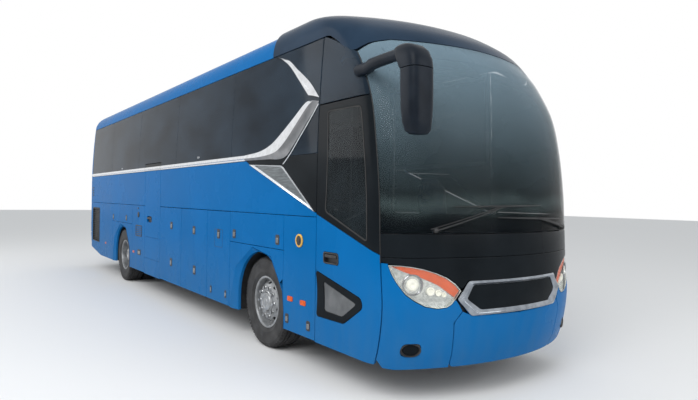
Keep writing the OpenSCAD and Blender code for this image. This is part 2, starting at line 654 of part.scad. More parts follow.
dash_front = 420;
dash_rear = 900;
dash_right = 540;
dash_h = 1480;
driver_y = 620;
wheel_d = 1060;
wheel_z = 1560;
wheel_ring = 450;
column_tilt = -30;
module dashboard() color("#303236") {
    // the front follows the bow of the windshield
    bow = [for (u = [-1080:144:1080]) let (p = outline(front_r, corner_r, u, 90)) [back(p[0] + 60), p[1]]];
    translate([0, 0, platform_h + 20]) linear_extrude(dash_h - platform_h - 20)
        polygon(concat(bow, [[back(dash_rear), bow[15][1]], [back(dash_rear), -100],
            [back(dash_right), -330], [back(dash_right), bow[0][1]]]));
    at_wheel() translate([0, 0, -330]) cylinder(d = 80, h = 260);
}
module at_wheel() translate([back(wheel_d), driver_y, wheel_z]) rotate([0, column_tilt, 0]) children();
module steering_wheel() color("#202124") at_wheel() {
    rotate_extrude() translate([wheel_ring / 2 - 15, 0]) circle(d = 30);
    for (a = [0:120:240]) rotate([0, 0, a]) translate([0, -12, -8]) cube([wheel_ring / 2 - 14, 24, 14]);
    translate([0, 0, -60]) cylinder(d = 90, h = 70);
}
module driver_seat() color("#3a3d42") {
    block(back(1750), back(1350), driver_y - 160, driver_y + 160, platform_h, platform_h + 280);
    block(back(1800), back(1300), driver_y - 250, driver_y + 250, platform_h + 280, platform_h + 400);
    translate([back(1800), driver_y - 240, platform_h + 300]) rotate([0, -8, 0]) cube([120, 480, 760]);
}
seat_gap = 250;
seat_front = front_overhang + 300;
left_rows = [for (d = [seat_front:seat_pitch:body_len - 900]) d];
right_rows = [for (d = left_rows) if (d < mid_door_front - 700 || d > mid_door_rear + 60) d];
module seat_pair(d) translate([back(d), seat_gap, floor_h]) {
    for (y = [80, seat_w - 120]) translate([-430, y, 0]) cube([380, 40, seat_h - 100]);
    translate([-460, 0, seat_h - 110]) cube([460, seat_w, 110]);
    translate([-480, 0, seat_h - 60]) rotate([0, -14, 0]) cube([90, seat_w, 720]);
}
module passenger_seats() color("#4a5568") {
    for (d = left_rows) seat_pair(d);
    for (d = right_rows) mirror([0, 1, 0]) seat_pair(d);
}

// ---- axles and wheels ----

kingpin_y = front_track / 2 - 135;
boss_h = 184;
fork_t = 40;
module front_axle() color(frame_grey) translate([back(front_overhang), 0, axle_h]) difference() {
    union() {
        block(-45, 45, -kingpin_y, kingpin_y, -70, 40);
        both_sides() {
            translate([0, kingpin_y, -boss_h / 2]) cylinder(d = 100, h = boss_h);
            translate([0, rail_in + rail_w / 2, 40]) cylinder(d = 240, h = rail_z - axle_h - 40);
            block(-130, 130, rail_in - 60, rail_in + rail_w + 60, -70, 40);
        }
    }
    both_sides() translate([0, kingpin_y, -boss_h]) cylinder(d = kingpin_d + 2 * run_fit, h = 2 * boss_h);
}
hub_in = -45;
hub_out = 130;
module knuckle() translate([back(front_overhang), kingpin_y, axle_h]) {
    plate_y = 55;
    cylinder(d = kingpin_d, h = boss_h + 2 * fork_t, center = true);
    for (z = [-boss_h / 2 - fork_t, boss_h / 2 + 1]) translate([0, 0, z]) {
        cylinder(d = 110, h = fork_t - 1);
        block(-55, 55, 0, plate_y + 10, 0, fork_t - 1);
    }
    block(-70, 70, plate_y, front_track / 2 - kingpin_y + hub_in - 5, -boss_h / 2 - fork_t,
        boss_h / 2 + fork_t);
    bar_y(spindle_d, plate_y, front_track / 2 - kingpin_y + hub_out - 15);
}
module left_knuckle() color(frame_grey) on_side(true) knuckle();
module right_knuckle() color(frame_grey) on_side(false) knuckle();

seat_r = rim_d / 2;
rim_half = 125;
lip = 14;
rim_t = 10;
bore_r = spindle_d / 2 + run_fit;
// Barrel of a rim around the place a along the axle
module barrel(a) translate([0, a]) polygon([[seat_r - rim_t, -rim_half], [seat_r + lip, -rim_half],
    [seat_r + lip, -rim_half + 8], [seat_r, -rim_half + 8], [seat_r, rim_half - 8],
    [seat_r + lip, rim_half - 8], [seat_r + lip, rim_half], [seat_r - rim_t, rim_half]]);
module turned(d, y) translate([back(d), y, axle_h]) rotate([-90, 0, 0]) rotate_extrude($fn = 96) children();
stud_pcd = 335;
stud_hole = 26;
stud_count = 10;
// Wheel bolt holes around the axle of the wheel at d and y
module stud_holes(d, y, a0, a1) for (k = [0:stud_count - 1])
    translate([back(d), 0, axle_h]) rotate([0, k * 360 / stud_count, 0])
        translate([stud_pcd / 2, 0, 0]) bar_y(stud_hole, y + a0, y + a1);
module front_rim() difference() {
    turned(front_overhang, front_track / 2) {
        barrel(0);
        polygon([[bore_r, hub_in], [105, hub_in], [105, 90], [185, 98], [255, 30], [seat_r - 5, 30],
            [seat_r - 5, 44], [261, 44], [191, 112], [120, 112], [110, hub_out], [bore_r, hub_out]]);
    }
    stud_holes(front_overhang, front_track / 2, 80, 140);
}
module tyre_section() {
    half = tyre_w / 2;
    r = tyre_d / 2;
    bead = rim_half - 8.5;
    polygon(concat([for (s = [-1, 1]) each [for (p = s < 0 ?
        [[seat_r, bead], [seat_r + lip + 1, bead], [seat_r + lip + 5, bead + 10], [r - 180, half - 5],
        [r - 120, half], [r - 60, half - 3], [r - 22, half - 14], [r - 6, half - 34], [r, half - 62]] :
        [[r, half - 62], [r - 6, half - 34], [r - 22, half - 14], [r - 60, half - 3], [r - 120, half],
        [r - 180, half - 5], [seat_r + lip + 5, bead + 10], [seat_r + lip + 1, bead], [seat_r, bead]])
        [p[0], s * p[1]]]]));
}
module front_tyre() turned(front_overhang, front_track / 2) tyre_section();
module right_front_rim() color(steel) on_side(false) front_rim();
module left_front_rim() color(steel) on_side(true) front_rim();
module right_front_tyre() color(rubber) on_side(false) front_tyre();
module left_front_tyre() color(rubber) on_side(true) front_tyre();

twin = twin_pitch / 2;
rear_hub_in = -210;
rear_hub_out = 240;
module rear_rims() difference() {
    turned(rear_axle_d, rear_track / 2) {
        barrel(twin);
        barrel(-twin);
        polygon([[bore_r, rear_hub_in], [120, rear_hub_in], [120, -14], [190, -14], [seat_r - 5, -70],
            [seat_r - 5, -56], [200, 0], [seat_r - 5, 56], [seat_r - 5, 70], [190, 14], [120, 14],
            [120, rear_hub_out - 30], [90, rear_hub_out], [bore_r, rear_hub_out]]);
    }
    stud_holes(rear_axle_d, rear_track / 2, -30, 30);
}
module rear_tyres() turned(rear_axle_d, rear_track / 2)
    for (a = [-twin, twin]) translate([0, a]) tyre_section();
module right_rear_rims() color(steel) on_side(false) rear_rims();
module left_rear_rims() color(steel) on_side(true) rear_rims();
module right_rear_tyres() color(rubber) on_side(false) rear_tyres();
module left_rear_tyres() color(rubber) on_side(true) rear_tyres();
module rear_axle() color(frame_grey) translate([back(rear_axle_d), 0, axle_h]) {
    end = rear_track / 2 + rear_hub_in - 10;
    bar_y(150, -end, end);
    both_sides() {
        bar_y(spindle_d, end - 5, rear_track / 2 + rear_hub_out - 20);
        translate([0, rail_in + rail_w / 2, 40]) cylinder(d = 260, h = rail_z - axle_h - 40);
        block(-150, 150, rail_in - 60, rail_in + rail_w + 60, -40, 42);
    }
    bar_y(400, -160, 160);
}

// ---- mirrors and wipers ----

mirror_top = 2950;
mirror_low = 2207;
mirror_wide = 230;
mirror_deep = 130;
mirror_y = mirror_half - mirror_wide / 2;
// Upright post with round edges, and a straight rod with a ball at its far end
module post(x, y, z0, z1, w, d, r) translate([x, y, z0]) linear_extrude(z1 - z0) {
    square([w - 2 * r, d], center = true);
    square([w, d - 2 * r], center = true);
    for (i = [-1, 1], j = [-1, 1]) translate([i * (w / 2 - r), j * (d / 2 - r)]) circle(r = r);
}
ball_rise = 1;
module rod(a, b, d) {
    v = b - a;
    translate(a) rotate([0, acos(v[2] / norm(v)), atan2(v[1], v[0])]) cylinder(d = d, h = norm(v));
    translate(b) sphere(r = d / 2 + ball_rise);
}
mirror_neck = 2700;
head_r = 50;
// Mirror head under an arm; front is the place of its front face
module mirror_head(front, top) {
    post(front - mirror_deep / 2, mirror_y, mirror_low, mirror_neck, mirror_deep, mirror_wide, head_r);
    post(front - 20 - mirror_deep / 2, mirror_y, mirror_neck, top, mirror_deep - 30, mirror_wide - 20,
        head_r - 10);
}
right_arm = 90;
right_arm_z = 2880;
module right_mirror() color("#26282b") on_side(false) {
    mirror_head(back(-mirror_reach), right_arm_z);
    elbow = [back(560), half_w + 40, right_arm_z];
    rod([back(-mirror_reach + 90), mirror_y, right_arm_z], elbow, right_arm);
    rod(elbow, front_at(door_u + 60, right_arm_z, -right_arm / 2 - 2 - ball_rise), right_arm);
}
left_arm = 60;
left_arm_z = 2800;
left_mirror_front = 900;
module left_mirror() color("#26282b") on_side(true) {
    mirror_head(back(left_mirror_front), left_arm_z);
    rod([back(left_mirror_front + 90), mirror_y, left_arm_z],
        front_at(side_u(left_mirror_front + 90, left_arm_z), left_arm_z, -left_arm / 2 - 2 - ball_rise),
        left_arm);
}
// Heights over the glass of the top and the underside of the blades and of the arms
blade_off = [-34, -18];
arm_off = [-46, -35];
wiper_w = 20;
// Pivot of each wiper as a place on the glass, and the two ends of its blade
wiper_places = [[[-900, 1480], [-730, 1680], [330, 1700]], [[900, 1480], [-280, 1590], [820, 1570]]];
function bar_edge(a, b, side, off, n = 12) = [for (i = [0:n])
    let (p = blend(a, b, i / n)) front_at(p[0], p[1] + side * wiper_w / 2, off)];
// Flat bar over the glass; a is to the right of b
module glass_bar(a, b, off) shell([for (side = [-1, 1]) bar_edge(a, b, side, off[0])],
    [for (side = [-1, 1]) bar_edge(a, b, side, off[1])]);
module wipers() color("#18191b") for (w = wiper_places) {
    middle = (w[1] + w[2]) / 2;
    right_first = w[0][0] < middle[0];
    glass_bar(right_first ? w[0] : middle, right_first ? middle : w[0], arm_off);
    glass_bar(w[1], w[2], blade_off);
}

chassis_frame();
front_axle();
rear_axle();
engine();
underbody();
floor();
front_stairs();
middle_stairs();
right_wall();
left_wall();
driver_side_panel();
roof();
front_cap();
rear_wall();
tail_dome();
rear_window();
rear_bumper();
windshield();
front_panel();
front_bumper();
grille();
headlights();
tail_lights();
right_windows();
left_windows();
right_mirror();
left_mirror();
wipers();
dashboard();
driver_seat();
passenger_seats();
front_door();
front_door_arm();
mid_door();
mid_door_arm();
right_luggage_door_front();
right_luggage_door_rear();
right_service_door();
left_luggage_door_front();
left_luggage_door_middle();
left_luggage_door_rear();
engine_door();
right_knuckle();
left_knuckle();
steering_wheel();
right_front_rim();
right_front_tyre();
left_front_rim();
left_front_tyre();
right_rear_rims();
right_rear_tyres();
left_rear_rims();
left_rear_tyres();
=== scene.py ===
# Touring coach: paint, glass, bright trim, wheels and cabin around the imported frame.
import math

import bmesh
import bpy
import numpy as np
from mathutils import Matrix, Vector, geometry


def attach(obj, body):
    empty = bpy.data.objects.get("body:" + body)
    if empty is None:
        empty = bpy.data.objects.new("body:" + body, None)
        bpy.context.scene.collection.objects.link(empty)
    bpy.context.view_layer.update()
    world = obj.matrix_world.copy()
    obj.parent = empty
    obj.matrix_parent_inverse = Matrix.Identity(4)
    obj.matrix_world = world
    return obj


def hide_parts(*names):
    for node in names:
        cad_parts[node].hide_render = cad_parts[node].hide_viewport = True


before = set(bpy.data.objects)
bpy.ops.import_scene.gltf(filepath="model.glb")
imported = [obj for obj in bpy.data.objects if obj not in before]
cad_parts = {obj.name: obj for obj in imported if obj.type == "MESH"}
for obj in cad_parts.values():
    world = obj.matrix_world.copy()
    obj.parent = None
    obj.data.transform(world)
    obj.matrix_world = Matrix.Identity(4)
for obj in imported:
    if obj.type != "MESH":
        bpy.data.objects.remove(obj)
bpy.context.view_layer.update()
print("frame loaded")

# the body's own curves: metres, lengths behind the nose, heights above the ground

coach = {
    "nose": 5.875,
    "length": 12.0,
    "halfWidth": 1.275,
    "roof": 3.65,
    "capRise": 0.045,
    "glassTop": 3.31,
    "belt": 2.17,
    "lean": 0.055,
    "frontRadius": 2.4,
    "cornerRadius": 0.35,
    "tailRadius": 12.0,
    "tailCorner": 0.15,
    "seam": 0.0028,  # half of the gap between two panels
    "frontAxle": 2.68,
    "rearAxle": 8.83,
    "axleHeight": 0.522,
    "archRadius": 0.58,
    "skirt": 0.34,
    "panelTop": 1.55,
    "sideFront": 1.447,
    "sideRear": 11.71,
}
noseCurve = [(0.27, 0.12), (0.47, 0.047), (0.8, 0), (1.14, 0.024), (1.47, 0.041), (1.8, 0.059),
    (2.25, 0.117), (2.63, 0.207), (2.97, 0.386), (3.12, 0.5), (3.3, 0.66), (3.4, 0.8),
    (3.5, 0.985), (3.6, 1.28), (3.665, 1.62), (3.695, 2.05)]
tailCurve = [(0.45, 0.11), (0.8, 0.015), (1.2, 0), (2.2, 0.008), (2.9, 0.035), (3.29, 0.08),
    (3.4, 0.13), (3.5, 0.23), (3.59, 0.42), (3.65, 0.85)]


def smoothCurve(points, z):
    p = np.array(points, float)
    zs, vs = p[:, 0], p[:, 1]
    after = np.minimum(np.arange(len(p)) + 1, len(p) - 1)
    before = np.maximum(np.arange(len(p)) - 1, 0)
    slope = (vs[after] - vs[before]) / (zs[after] - zs[before])
    z = np.asarray(z, float)
    i = np.clip(np.searchsorted(zs, z, side="right") - 1, 0, len(p) - 2)
    h = zs[i + 1] - zs[i]
    t = np.clip((z - zs[i]) / h, 0, 1)
    return ((2 * t**3 - 3 * t**2 + 1) * vs[i] + (t**3 - 2 * t**2 + t) * h * slope[i]
            + (3 * t**2 - 2 * t**3) * vs[i + 1] + (t**3 - t**2) * h * slope[i + 1])


def halfAt(z, top=coach["roof"]):
    z = np.asarray(z, float)
    w, glass = coach["halfWidth"], coach["glassTop"]
    side = w - coach["lean"] * np.clip((z - coach["belt"]) / (glass - coach["belt"]), 0, 1) ** 1.5
    q = np.clip((z - glass) / (top - glass), 0, 1)
    return np.where(z <= glass, side, (w - coach["lean"]) * (1 - q**2.2) ** 0.125)


def planOutline(bowRadius, corner, u, off):
    w = coach["halfWidth"]
    u = np.asarray(u, float)
    v = np.abs(u)
    turn = math.asin((w - corner) / (bowRadius - corner))
    bow = bowRadius * turn
    bend = bow + corner * (math.pi / 2 - turn)
    depth = bowRadius - math.sqrt((bowRadius - corner) ** 2 - (w - corner) ** 2)
    a, b = v / bowRadius, turn + (v - bow) / corner
    d = np.where(v <= bow, bowRadius - (bowRadius - off) * np.cos(a),
        np.where(v <= bend, depth - (corner - off) * np.cos(b), depth + v - bend))
    y = np.where(v <= bow, (bowRadius - off) * np.sin(a),
        np.where(v <= bend, w - corner + (corner - off) * np.sin(b), w - off))
    return d, np.where(u < 0, -1, 1) * y


def frontAt(u, z, off=0):  # u runs to the left of the middle line
    d, y = planOutline(coach["frontRadius"], coach["cornerRadius"], u, off)
    z = np.asarray(z, float) + 0 * d
    scale = halfAt(z, coach["roof"] + coach["capRise"]) / coach["halfWidth"]
    return np.stack([coach["nose"] - smoothCurve(noseCurve, z) - d, y * scale, z], -1)


def tailAt(u, z, off=0):  # u runs to the right of the middle line
    d, y = planOutline(coach["tailRadius"], coach["tailCorner"], u, off)
    z = np.asarray(z, float) + 0 * d
    return np.stack([coach["nose"] - coach["length"] + smoothCurve(tailCurve, z) + d,
        -y * halfAt(z) / coach["halfWidth"], z], -1)


def endLength(bowRadius, corner):
    w = coach["halfWidth"]
    turn = math.asin((w - corner) / (bowRadius - corner))
    bend = bowRadius * turn + corner * (math.pi / 2 - turn)
    return bend - bowRadius + math.sqrt((bowRadius - corner) ** 2 - (w - corner) ** 2)


def sideU(d, z):
    return endLength(coach["frontRadius"], coach["cornerRadius"]) + d - smoothCurve(noseCurve, z)


def tailU(d, z):
    return endLength(coach["tailRadius"], coach["tailCorner"]) + d - smoothCurve(tailCurve, z)


def sideSurface(sign):
    def at(d, z, off=0):
        d, z = np.asarray(d, float), np.asarray(z, float)
        return np.stack([coach["nose"] - d, sign * (halfAt(z) - off) + 0 * d, z + 0 * d], -1)
    return at


rightSide, leftSide = sideSurface(-1), sideSurface(1)


def roofAt(d, w, off=0):  # w runs from -1 on the right to 1 on the left
    d, w = np.asarray(d, float), np.asarray(w, float)
    s = np.sign(w) * (1 - (1 - np.minimum(np.abs(w), 1)) ** 1.8)
    edge = coach["halfWidth"] - coach["lean"]
    z = coach["glassTop"] + (coach["roof"] - coach["glassTop"]) * (1 - np.abs(s) ** 8) ** (1 / 2.2)
    return np.stack([coach["nose"] - d, s * (edge - off), np.maximum(z - off,
        coach["glassTop"] + 0.003)], -1)


def below(surface, depth):  # the same surface, sunk by a depth
    return lambda a, b, off=0: surface(a, b, off + depth)


# mesh helpers


def unit(v):
    return v / np.maximum(np.linalg.norm(v, axis=-1, keepdims=True), 1e-12)


def dense(points, step):
    out = []
    for i, p in enumerate(points):
        q = points[(i + 1) % len(points)]
        n = max(1, math.ceil(math.dist(p, q) / step))
        out += [(p[0] + (q[0] - p[0]) * k / n, p[1] + (q[1] - p[1]) * k / n) for k in range(n)]
    return out


def rounded(points, radius, steps=5):
    out = []
    for i, p in enumerate(points):
        r = radius[i] if isinstance(radius, (list, tuple)) else radius
        p, a, b = Vector(p), Vector(points[i - 1]), Vector(points[(i + 1) % len(points)])
        if r <= 0:
            out.append(tuple(p))
            continue
        r = min(r, 0.45 * (a - p).length, 0.45 * (b - p).length)
        start, end = p + (a - p).normalized() * r, p + (b - p).normalized() * r
        for k in range(steps + 1):
            t = k / steps
            out.append(tuple(start.lerp(p, t).lerp(p.lerp(end, t), t)))
    return out


def rect(x0, x1, z0, z1):
    return [(x0, z0), (x1, z0), (x1, z1), (x0, z1)]


def area2(loop):
    p = np.array(loop)
    q = np.roll(p, -1, 0)
    return float((p[:, 0] * q[:, 1] - q[:, 0] * p[:, 1]).sum()) / 2


def loopOut(p):  # outward unit vectors of a loop that has its material on the left
    a, b = unit(p - np.roll(p, 1, 0)), unit(np.roll(p, -1, 0) - p)
    na, nb = np.stack([a[:, 1], -a[:, 0]], -1), np.stack([b[:, 1], -b[:, 0]], -1)
    m = unit(na + nb)
    return m / np.maximum((m * na).sum(-1, keepdims=True), 0.4)


def shrink(loop, by):
    p = np.array(loop)
    return [tuple(q) for q in p - loopOut(p) * by]


def insideLoops(points, loops):
    x, y = points[:, :1], points[:, 1:]
    inside = np.zeros(len(points), bool)
    for p in loops:
        q = np.roll(p, -1, 0)
        crosses = (p[None, :, 1] > y) != (q[None, :, 1] > y)
        with np.errstate(divide="ignore", invalid="ignore"):
            at = (q[None, :, 0] - p[None, :, 0]) * (y - p[None, :, 1]) / (q[:, 1] - p[:,
                1])[None] + p[None, :, 0]
        inside ^= ((crosses & (x < at)).sum(-1) % 2).astype(bool)
    return inside


def loopDistance(points, loops):
    best = np.full(len(points), 1e9)
    for p in loops:
        d = np.roll(p, -1, 0) - p
        t = np.clip(((points[:, None] - p[None]) * d[None]).sum(-1) / np.maximum((d * d).sum(-1),
            1e-12)[None], 0, 1)
        best = np.minimum(best, np.linalg.norm(points[:, None] - p[None] - t[..., None] * d[None],
            axis=-1).min(-1))
    return best


# vertices, faces and material numbers of one piece, gathered from many shapes
class Parts:
    def __init__(self):
        self.verts, self.faces, self.mats = [], [], []

    def add(self, verts, faces, mat=0):
        base = len(self.verts)
        self.verts += [tuple(float(c) for c in v) for v in verts]
        self.faces += [tuple(base + i for i in f) for f in faces]
        self.mats += list(mat) if isinstance(mat, (list, tuple)) else [mat] * len(faces)
        return self


# a panel of the surface inside an outline, with rolled edges, and closed at its back
def skin(parts, surface, outline, holes=(), thick=0.04, roll=0.004, cell=(0.06, 0.06), lift=0.0,
         mat=0, backMat=None, inset=None, step=0.05):
    inset = coach["seam"] if inset is None else inset
    loops = []
    for k, loop in enumerate([outline, *holes]):
        loop = list(loop)
        if (area2(loop) > 0) != (k == 0):
            loop.reverse()
        p = np.array(dense(loop, step))
        loops.append(p - loopOut(p) * inset)
    eps = 1e-4

    def place(p, off=0.0):
        return surface(p[:, 0], p[:, 1], off)

    def normals(p):
        e0, e1 = np.array([eps, 0]), np.array([0, eps])
        n = unit(np.cross(place(p + e0) - place(p - e0), place(p + e1) - place(p - e1)))
        out = place(p) - place(p, 0.01)
        return n * np.sign((n * out).sum(-1, keepdims=True))

    support = 0.004  # a flat row just inside the rolled edge
    arcSteps = [(roll * (1 - math.cos(a)), roll * (1 - math.sin(a)))
        for a in (math.radians(x) for x in (0, 30, 60, 90))]
    profile = [(0, thick), (0, min(roll + support, thick * 0.9)), *arcSteps, (roll + support, 0)]
    flat, rings = [], []
    for p in loops:
        out2 = loopOut(p)
        flat.append(p - out2 * (roll + support))
        base, n = place(p), normals(p)
        t = unit(np.roll(base, -1, 0) - np.roll(base, 1, 0))
        e = (place(p + out2 * eps) - base) / eps
        e -= (e * t).sum(-1, keepdims=True) * t
        rings.append([base - e * s - n * (d - lift) for s, d in profile])
    lo, hi = np.min([f.min(0) for f in flat], 0), np.max([f.max(0) for f in flat], 0)
    cols, rows = int((hi[0] - lo[0]) / cell[0]) + 2, int((hi[1] - lo[1]) / cell[1]) + 2
    grid = np.array([(lo[0] + (i + 0.5 * (j % 2)) * cell[0], lo[1] + j * cell[1]) for j in range(rows)
        for i in range(cols)])
    scale = np.array([1 / cell[0], 1 / cell[1]])
    grid = grid[insideLoops(grid, flat)]
    if len(grid):
        grid = grid[loopDistance(grid * scale, [f * scale for f in flat]) > 0.45]
    points = np.concatenate([*flat, grid]) if len(grid) else np.concatenate(flat)
    edges, at = [], 0
    for f in flat:
        edges += [(at + i, at + (i + 1) % len(f)) for i in range(len(f))]
        at += len(f)
    _, _, tris, origin, _, _ = geometry.delaunay_2d_cdt([Vector(p) for p in points], edges, [], 0, 1e-7)
    source = [o[0] if o else -1 for o in origin]
    tris = [tuple(source[i] for i in t) for t in tris]
    tris = [t for t in tris if min(t) >= 0 and len(set(t)) == 3]
    centre = np.array([points[list(t)].mean(0) for t in tris])
    tris = [t for t, keep in zip(tris, insideLoops(centre, flat)) if keep]
    # vertices: rings from the back, then the interior's front and back
    verts, ringStart = [], []
    for loopRings in rings:
        starts = []
        for r in loopRings:
            starts.append(len(verts))
            verts += list(r)
        ringStart.append(starts)
    frontOf, backOf = {}, {}
    at = 0
    for starts, f in zip(ringStart, flat):
        for i in range(len(f)):
            frontOf[at + i], backOf[at + i] = starts[-1] + i, starts[0] + i
        at += len(f)
    if len(grid):
        n = normals(grid)
        top, bottom = place(grid) + n * lift, place(grid) - n * (thick - lift)
        for i in range(len(grid)):
            frontOf[at + i], backOf[at + i] = len(verts) + i, len(verts) + len(grid) + i
        verts += list(top) + list(bottom)
    faces, mats = [], []
    lead = place(points[list(tris[0])])
    flip = np.dot(np.cross(lead[1] - lead[0], lead[2] - lead[0]), normals(points[list(tris[0])])[0]) < 0
    for t in tris:
        a, b, c = t if not flip else t[::-1]
        faces += [(frontOf[a], frontOf[b], frontOf[c]), (backOf[c], backOf[b], backOf[a])]
        mats += [mat, mat if backMat is None else backMat]
    for starts, f in zip(ringStart, flat):
        n = len(f)
        for r0, r1 in zip(starts, starts[1:]):
            for i in range(n):
                j = (i + 1) % n
                quad = (r0 + i, r0 + j, r1 + j, r1 + i)
                faces.append(quad if not flip else quad[::-1])
                mats.append(mat)
    parts.add(verts, faces, mats)
    return parts


def finishMesh(name, parts, materials, sharp=40):
    mesh = bpy.data.meshes.new(name)
    mesh.from_pydata(parts.verts, [], parts.faces)
    for m in materials:
        mesh.materials.append(m)
    mesh.polygons.foreach_set("material_index", np.array(parts.mats, np.int32))
    mesh.polygons.foreach_set("use_smooth", np.ones(len(mesh.polygons), bool))
    mesh.set_sharp_from_angle(angle=math.radians(sharp))
    mesh.update()
    obj = bpy.data.objects.new(name, mesh)
    bpy.context.scene.collection.objects.link(obj)
    return obj


def piece(name, body, parts, materials, replaces=(), sharp=40):
    obj = finishMesh(name, parts, materials, sharp)
    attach(obj, body)
    if replaces:
        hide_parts(*replaces)
    return obj


# a thick sheet over two grids of points, rows first
def gridShell(parts, outer, inner, mat=0, backMat=None, lid=False):
    outer, inner = np.asarray(outer), np.asarray(inner)
    rows, cols = outer.shape[:2]
    faces, mats = [], []

    def o(i, j):
        return j * cols + i

    def k(i, j):
        return rows * cols + j * cols + i

    def kept(i, j):
        return 0 <= i < cols - 1 and 0 <= j < rows - 1

    def put(face, m):
        faces.append(face)
        mats.append(m)
    back = mat if backMat is None else backMat
    for j in range(rows - 1):
        for i in range(cols - 1):
            put((o(i, j), o(i + 1, j), o(i + 1, j + 1), o(i, j + 1)), mat)
            put((k(i, j), k(i, j + 1), k(i + 1, j + 1), k(i + 1, j)), back)
            if not kept(i, j - 1):
                put((o(i + 1, j), o(i, j), k(i, j), k(i + 1, j)), mat)
            if not kept(i, j + 1) and not (lid and j == rows - 2):
                put((o(i, j + 1), o(i + 1, j + 1), k(i + 1, j + 1), k(i, j + 1)), mat)
            if not kept(i - 1, j):
                put((o(i, j), o(i, j + 1), k(i, j + 1), k(i, j)), mat)
            if not kept(i + 1, j):
                put((o(i + 1, j + 1), o(i + 1, j), k(i + 1, j), k(i + 1, j + 1)), mat)
    if lid:
        last = rows - 1
        for i in range((cols - 1) // 2):
            quad = (o(i, last), o(i + 1, last), o(cols - 2 - i, last), o(cols - 1 - i, last))
            under = (k(cols - 1 - i, last), k(cols - 2 - i, last), k(i + 1, last), k(i, last))
            put(tuple(dict.fromkeys(quad)), mat)
            put(tuple(dict.fromkeys(under)), back)
        put((o(0, last), o(cols - 1, last), k(cols - 1, last), k(0, last)), mat)
    parts.add(np.concatenate([outer.reshape(-1, 3), inner.reshape(-1, 3)]), faces, mats)


def fixNormals(obj):
    bm = bmesh.new()
    bm.from_mesh(obj.data)
    bmesh.ops.recalc_face_normals(bm, faces=bm.faces)
    bm.to_mesh(obj.data)
    bm.free()
    return obj


def fromBmesh(parts, bm, matrix=None, mat=0):
    if matrix is not None:
        bm.transform(matrix)
    bm.verts.ensure_lookup_table()
    parts.add([v.co for v in bm.verts], [tuple(v.index for v in f.verts) for f in bm.faces], mat)
    bm.free()


def roundBox(parts, low, high, r=0.004, mat=0, segments=2, matrix=None):
    low, high = Vector(low), Vector(high)
    bm = bmesh.new()
    bmesh.ops.create_cube(bm, size=1)
    size = high - low
    bmesh.ops.transform(bm, matrix=Matrix.Translation((low + high) / 2) @ Matrix.Diagonal((*size, 1)),
        verts=bm.verts)
    r = min(r, 0.45 * min(size))
    bmesh.ops.bevel(bm, geom=bm.edges[:], offset=r, segments=segments, profile=0.5, affect="EDGES")
    bm.verts.index_update()
    fromBmesh(parts, bm, matrix, mat)


# a turn that points Z straight out of the surface
def outward(surface, a, b):
    out = Vector(unit(surface(a, b, 0) - surface(a, b, 0.03)))
    return out.to_track_quat("Z", "Y").to_matrix().to_4x4()


# turns a closed profile of (radius, along) points about the Z axis of place
def revolve(parts, profile, place, mat=0, steps=48):
    n = len(profile)
    verts, faces = [], []
    for s in range(steps):
        a = 2 * math.pi * s / steps
        verts += [place @ Vector((r * math.cos(a), r * math.sin(a), z)) for r, z in profile]
    for s in range(steps):
        t = (s + 1) % steps
        faces += [(s * n + i, t * n + i, t * n + (i + 1) % n, s * n + (i + 1) % n) for i in range(n)]
    parts.add(verts, faces, mat)


# a solid strip between two lines with the same number of points, closed at both ends, or between
# two loops; sections are (share of the way across, height above the surface)
def ribbon(parts, surface, first, second, sections, mat=0, loop=False):
    rows = []
    for share, height in sections:
        p = np.array([(a[0] + (b[0] - a[0]) * share, a[1] + (b[1] - a[1]) * share) for a,
            b in zip(first, second)])
        rows.append(surface(p[:, 0], p[:, 1], -height))
    n, m = len(first), len(rows)
    faces = [(j * n + i, j * n + (i + 1) % n, ((j + 1) % m) * n + (i + 1) % n, ((j + 1) % m) * n + i)
        for j in range(m) for i in range(n if loop else n - 1)]
    if not loop:
        faces += [tuple(j * n for j in range(m)), tuple(j * n + n - 1 for j in range(m))[::-1]]
    parts.add(np.concatenate(rows), faces, mat)


def bezel(parts, surface, outer, inner, sections, mat=0):
    ribbon(parts, surface, outer, inner, sections, mat, True)


# a closed bar along a path; radius is one number, or one for each point
def tube(parts, path, radius, mat=0, sides=12, flatten=1.0, upHint=(0, 0, 1)):
    path = [Vector(p) for p in path]
    verts, faces = [], []
    for i, p in enumerate(path):
        t = (path[min(i + 1, len(path) - 1)] - path[max(i - 1, 0)]).normalized()
        side = t.cross(Vector(upHint)).normalized()
        up = side.cross(t)
        r = radius[i] if isinstance(radius, (list, tuple)) else radius
        for k in range(sides):
            a = 2 * math.pi * k / sides
            verts.append(p + side * r * math.cos(a) + up * r * flatten * math.sin(a))
    for i in range(len(path) - 1):
        low, high = i * sides, (i + 1) * sides
        faces += [(low + k, low + (k + 1) % sides, high + (k + 1) % sides, high + k) for k in range(sides)]
    faces += [tuple(range(sides))[::-1], tuple((len(path) - 1) * sides + k for k in range(sides))]
    parts.add(verts, faces, mat)


# finishes


def material(name, color, roughness=0.5, metallic=0.0, coat=0.0, alpha=1.0, specular=0.4):
    mat = bpy.data.materials.new(name)
    mat.use_nodes = True
    shader = mat.node_tree.nodes["Principled BSDF"]
    shader.inputs["Base Color"].default_value = (*color, 1)
    shader.inputs["Roughness"].default_value = roughness
    shader.inputs["Metallic"].default_value = metallic
    shader.inputs["Coat Weight"].default_value = coat
    shader.inputs["Coat Roughness"].default_value = 0.04
    shader.inputs["Alpha"].default_value = alpha
    shader.inputs["Specular IOR Level"].default_value = specular
    mat.diffuse_color = (*color, 1)
    return mat


# owner is a material, a world or a node group
def addNode(owner, kind, **settings):
    node = getattr(owner, "node_tree", owner).nodes.new(kind)
    for key, value in settings.items():
        if key in node.inputs:
            node.inputs[key].default_value = value
        else:
            setattr(node, key.lower(), value)
    return node


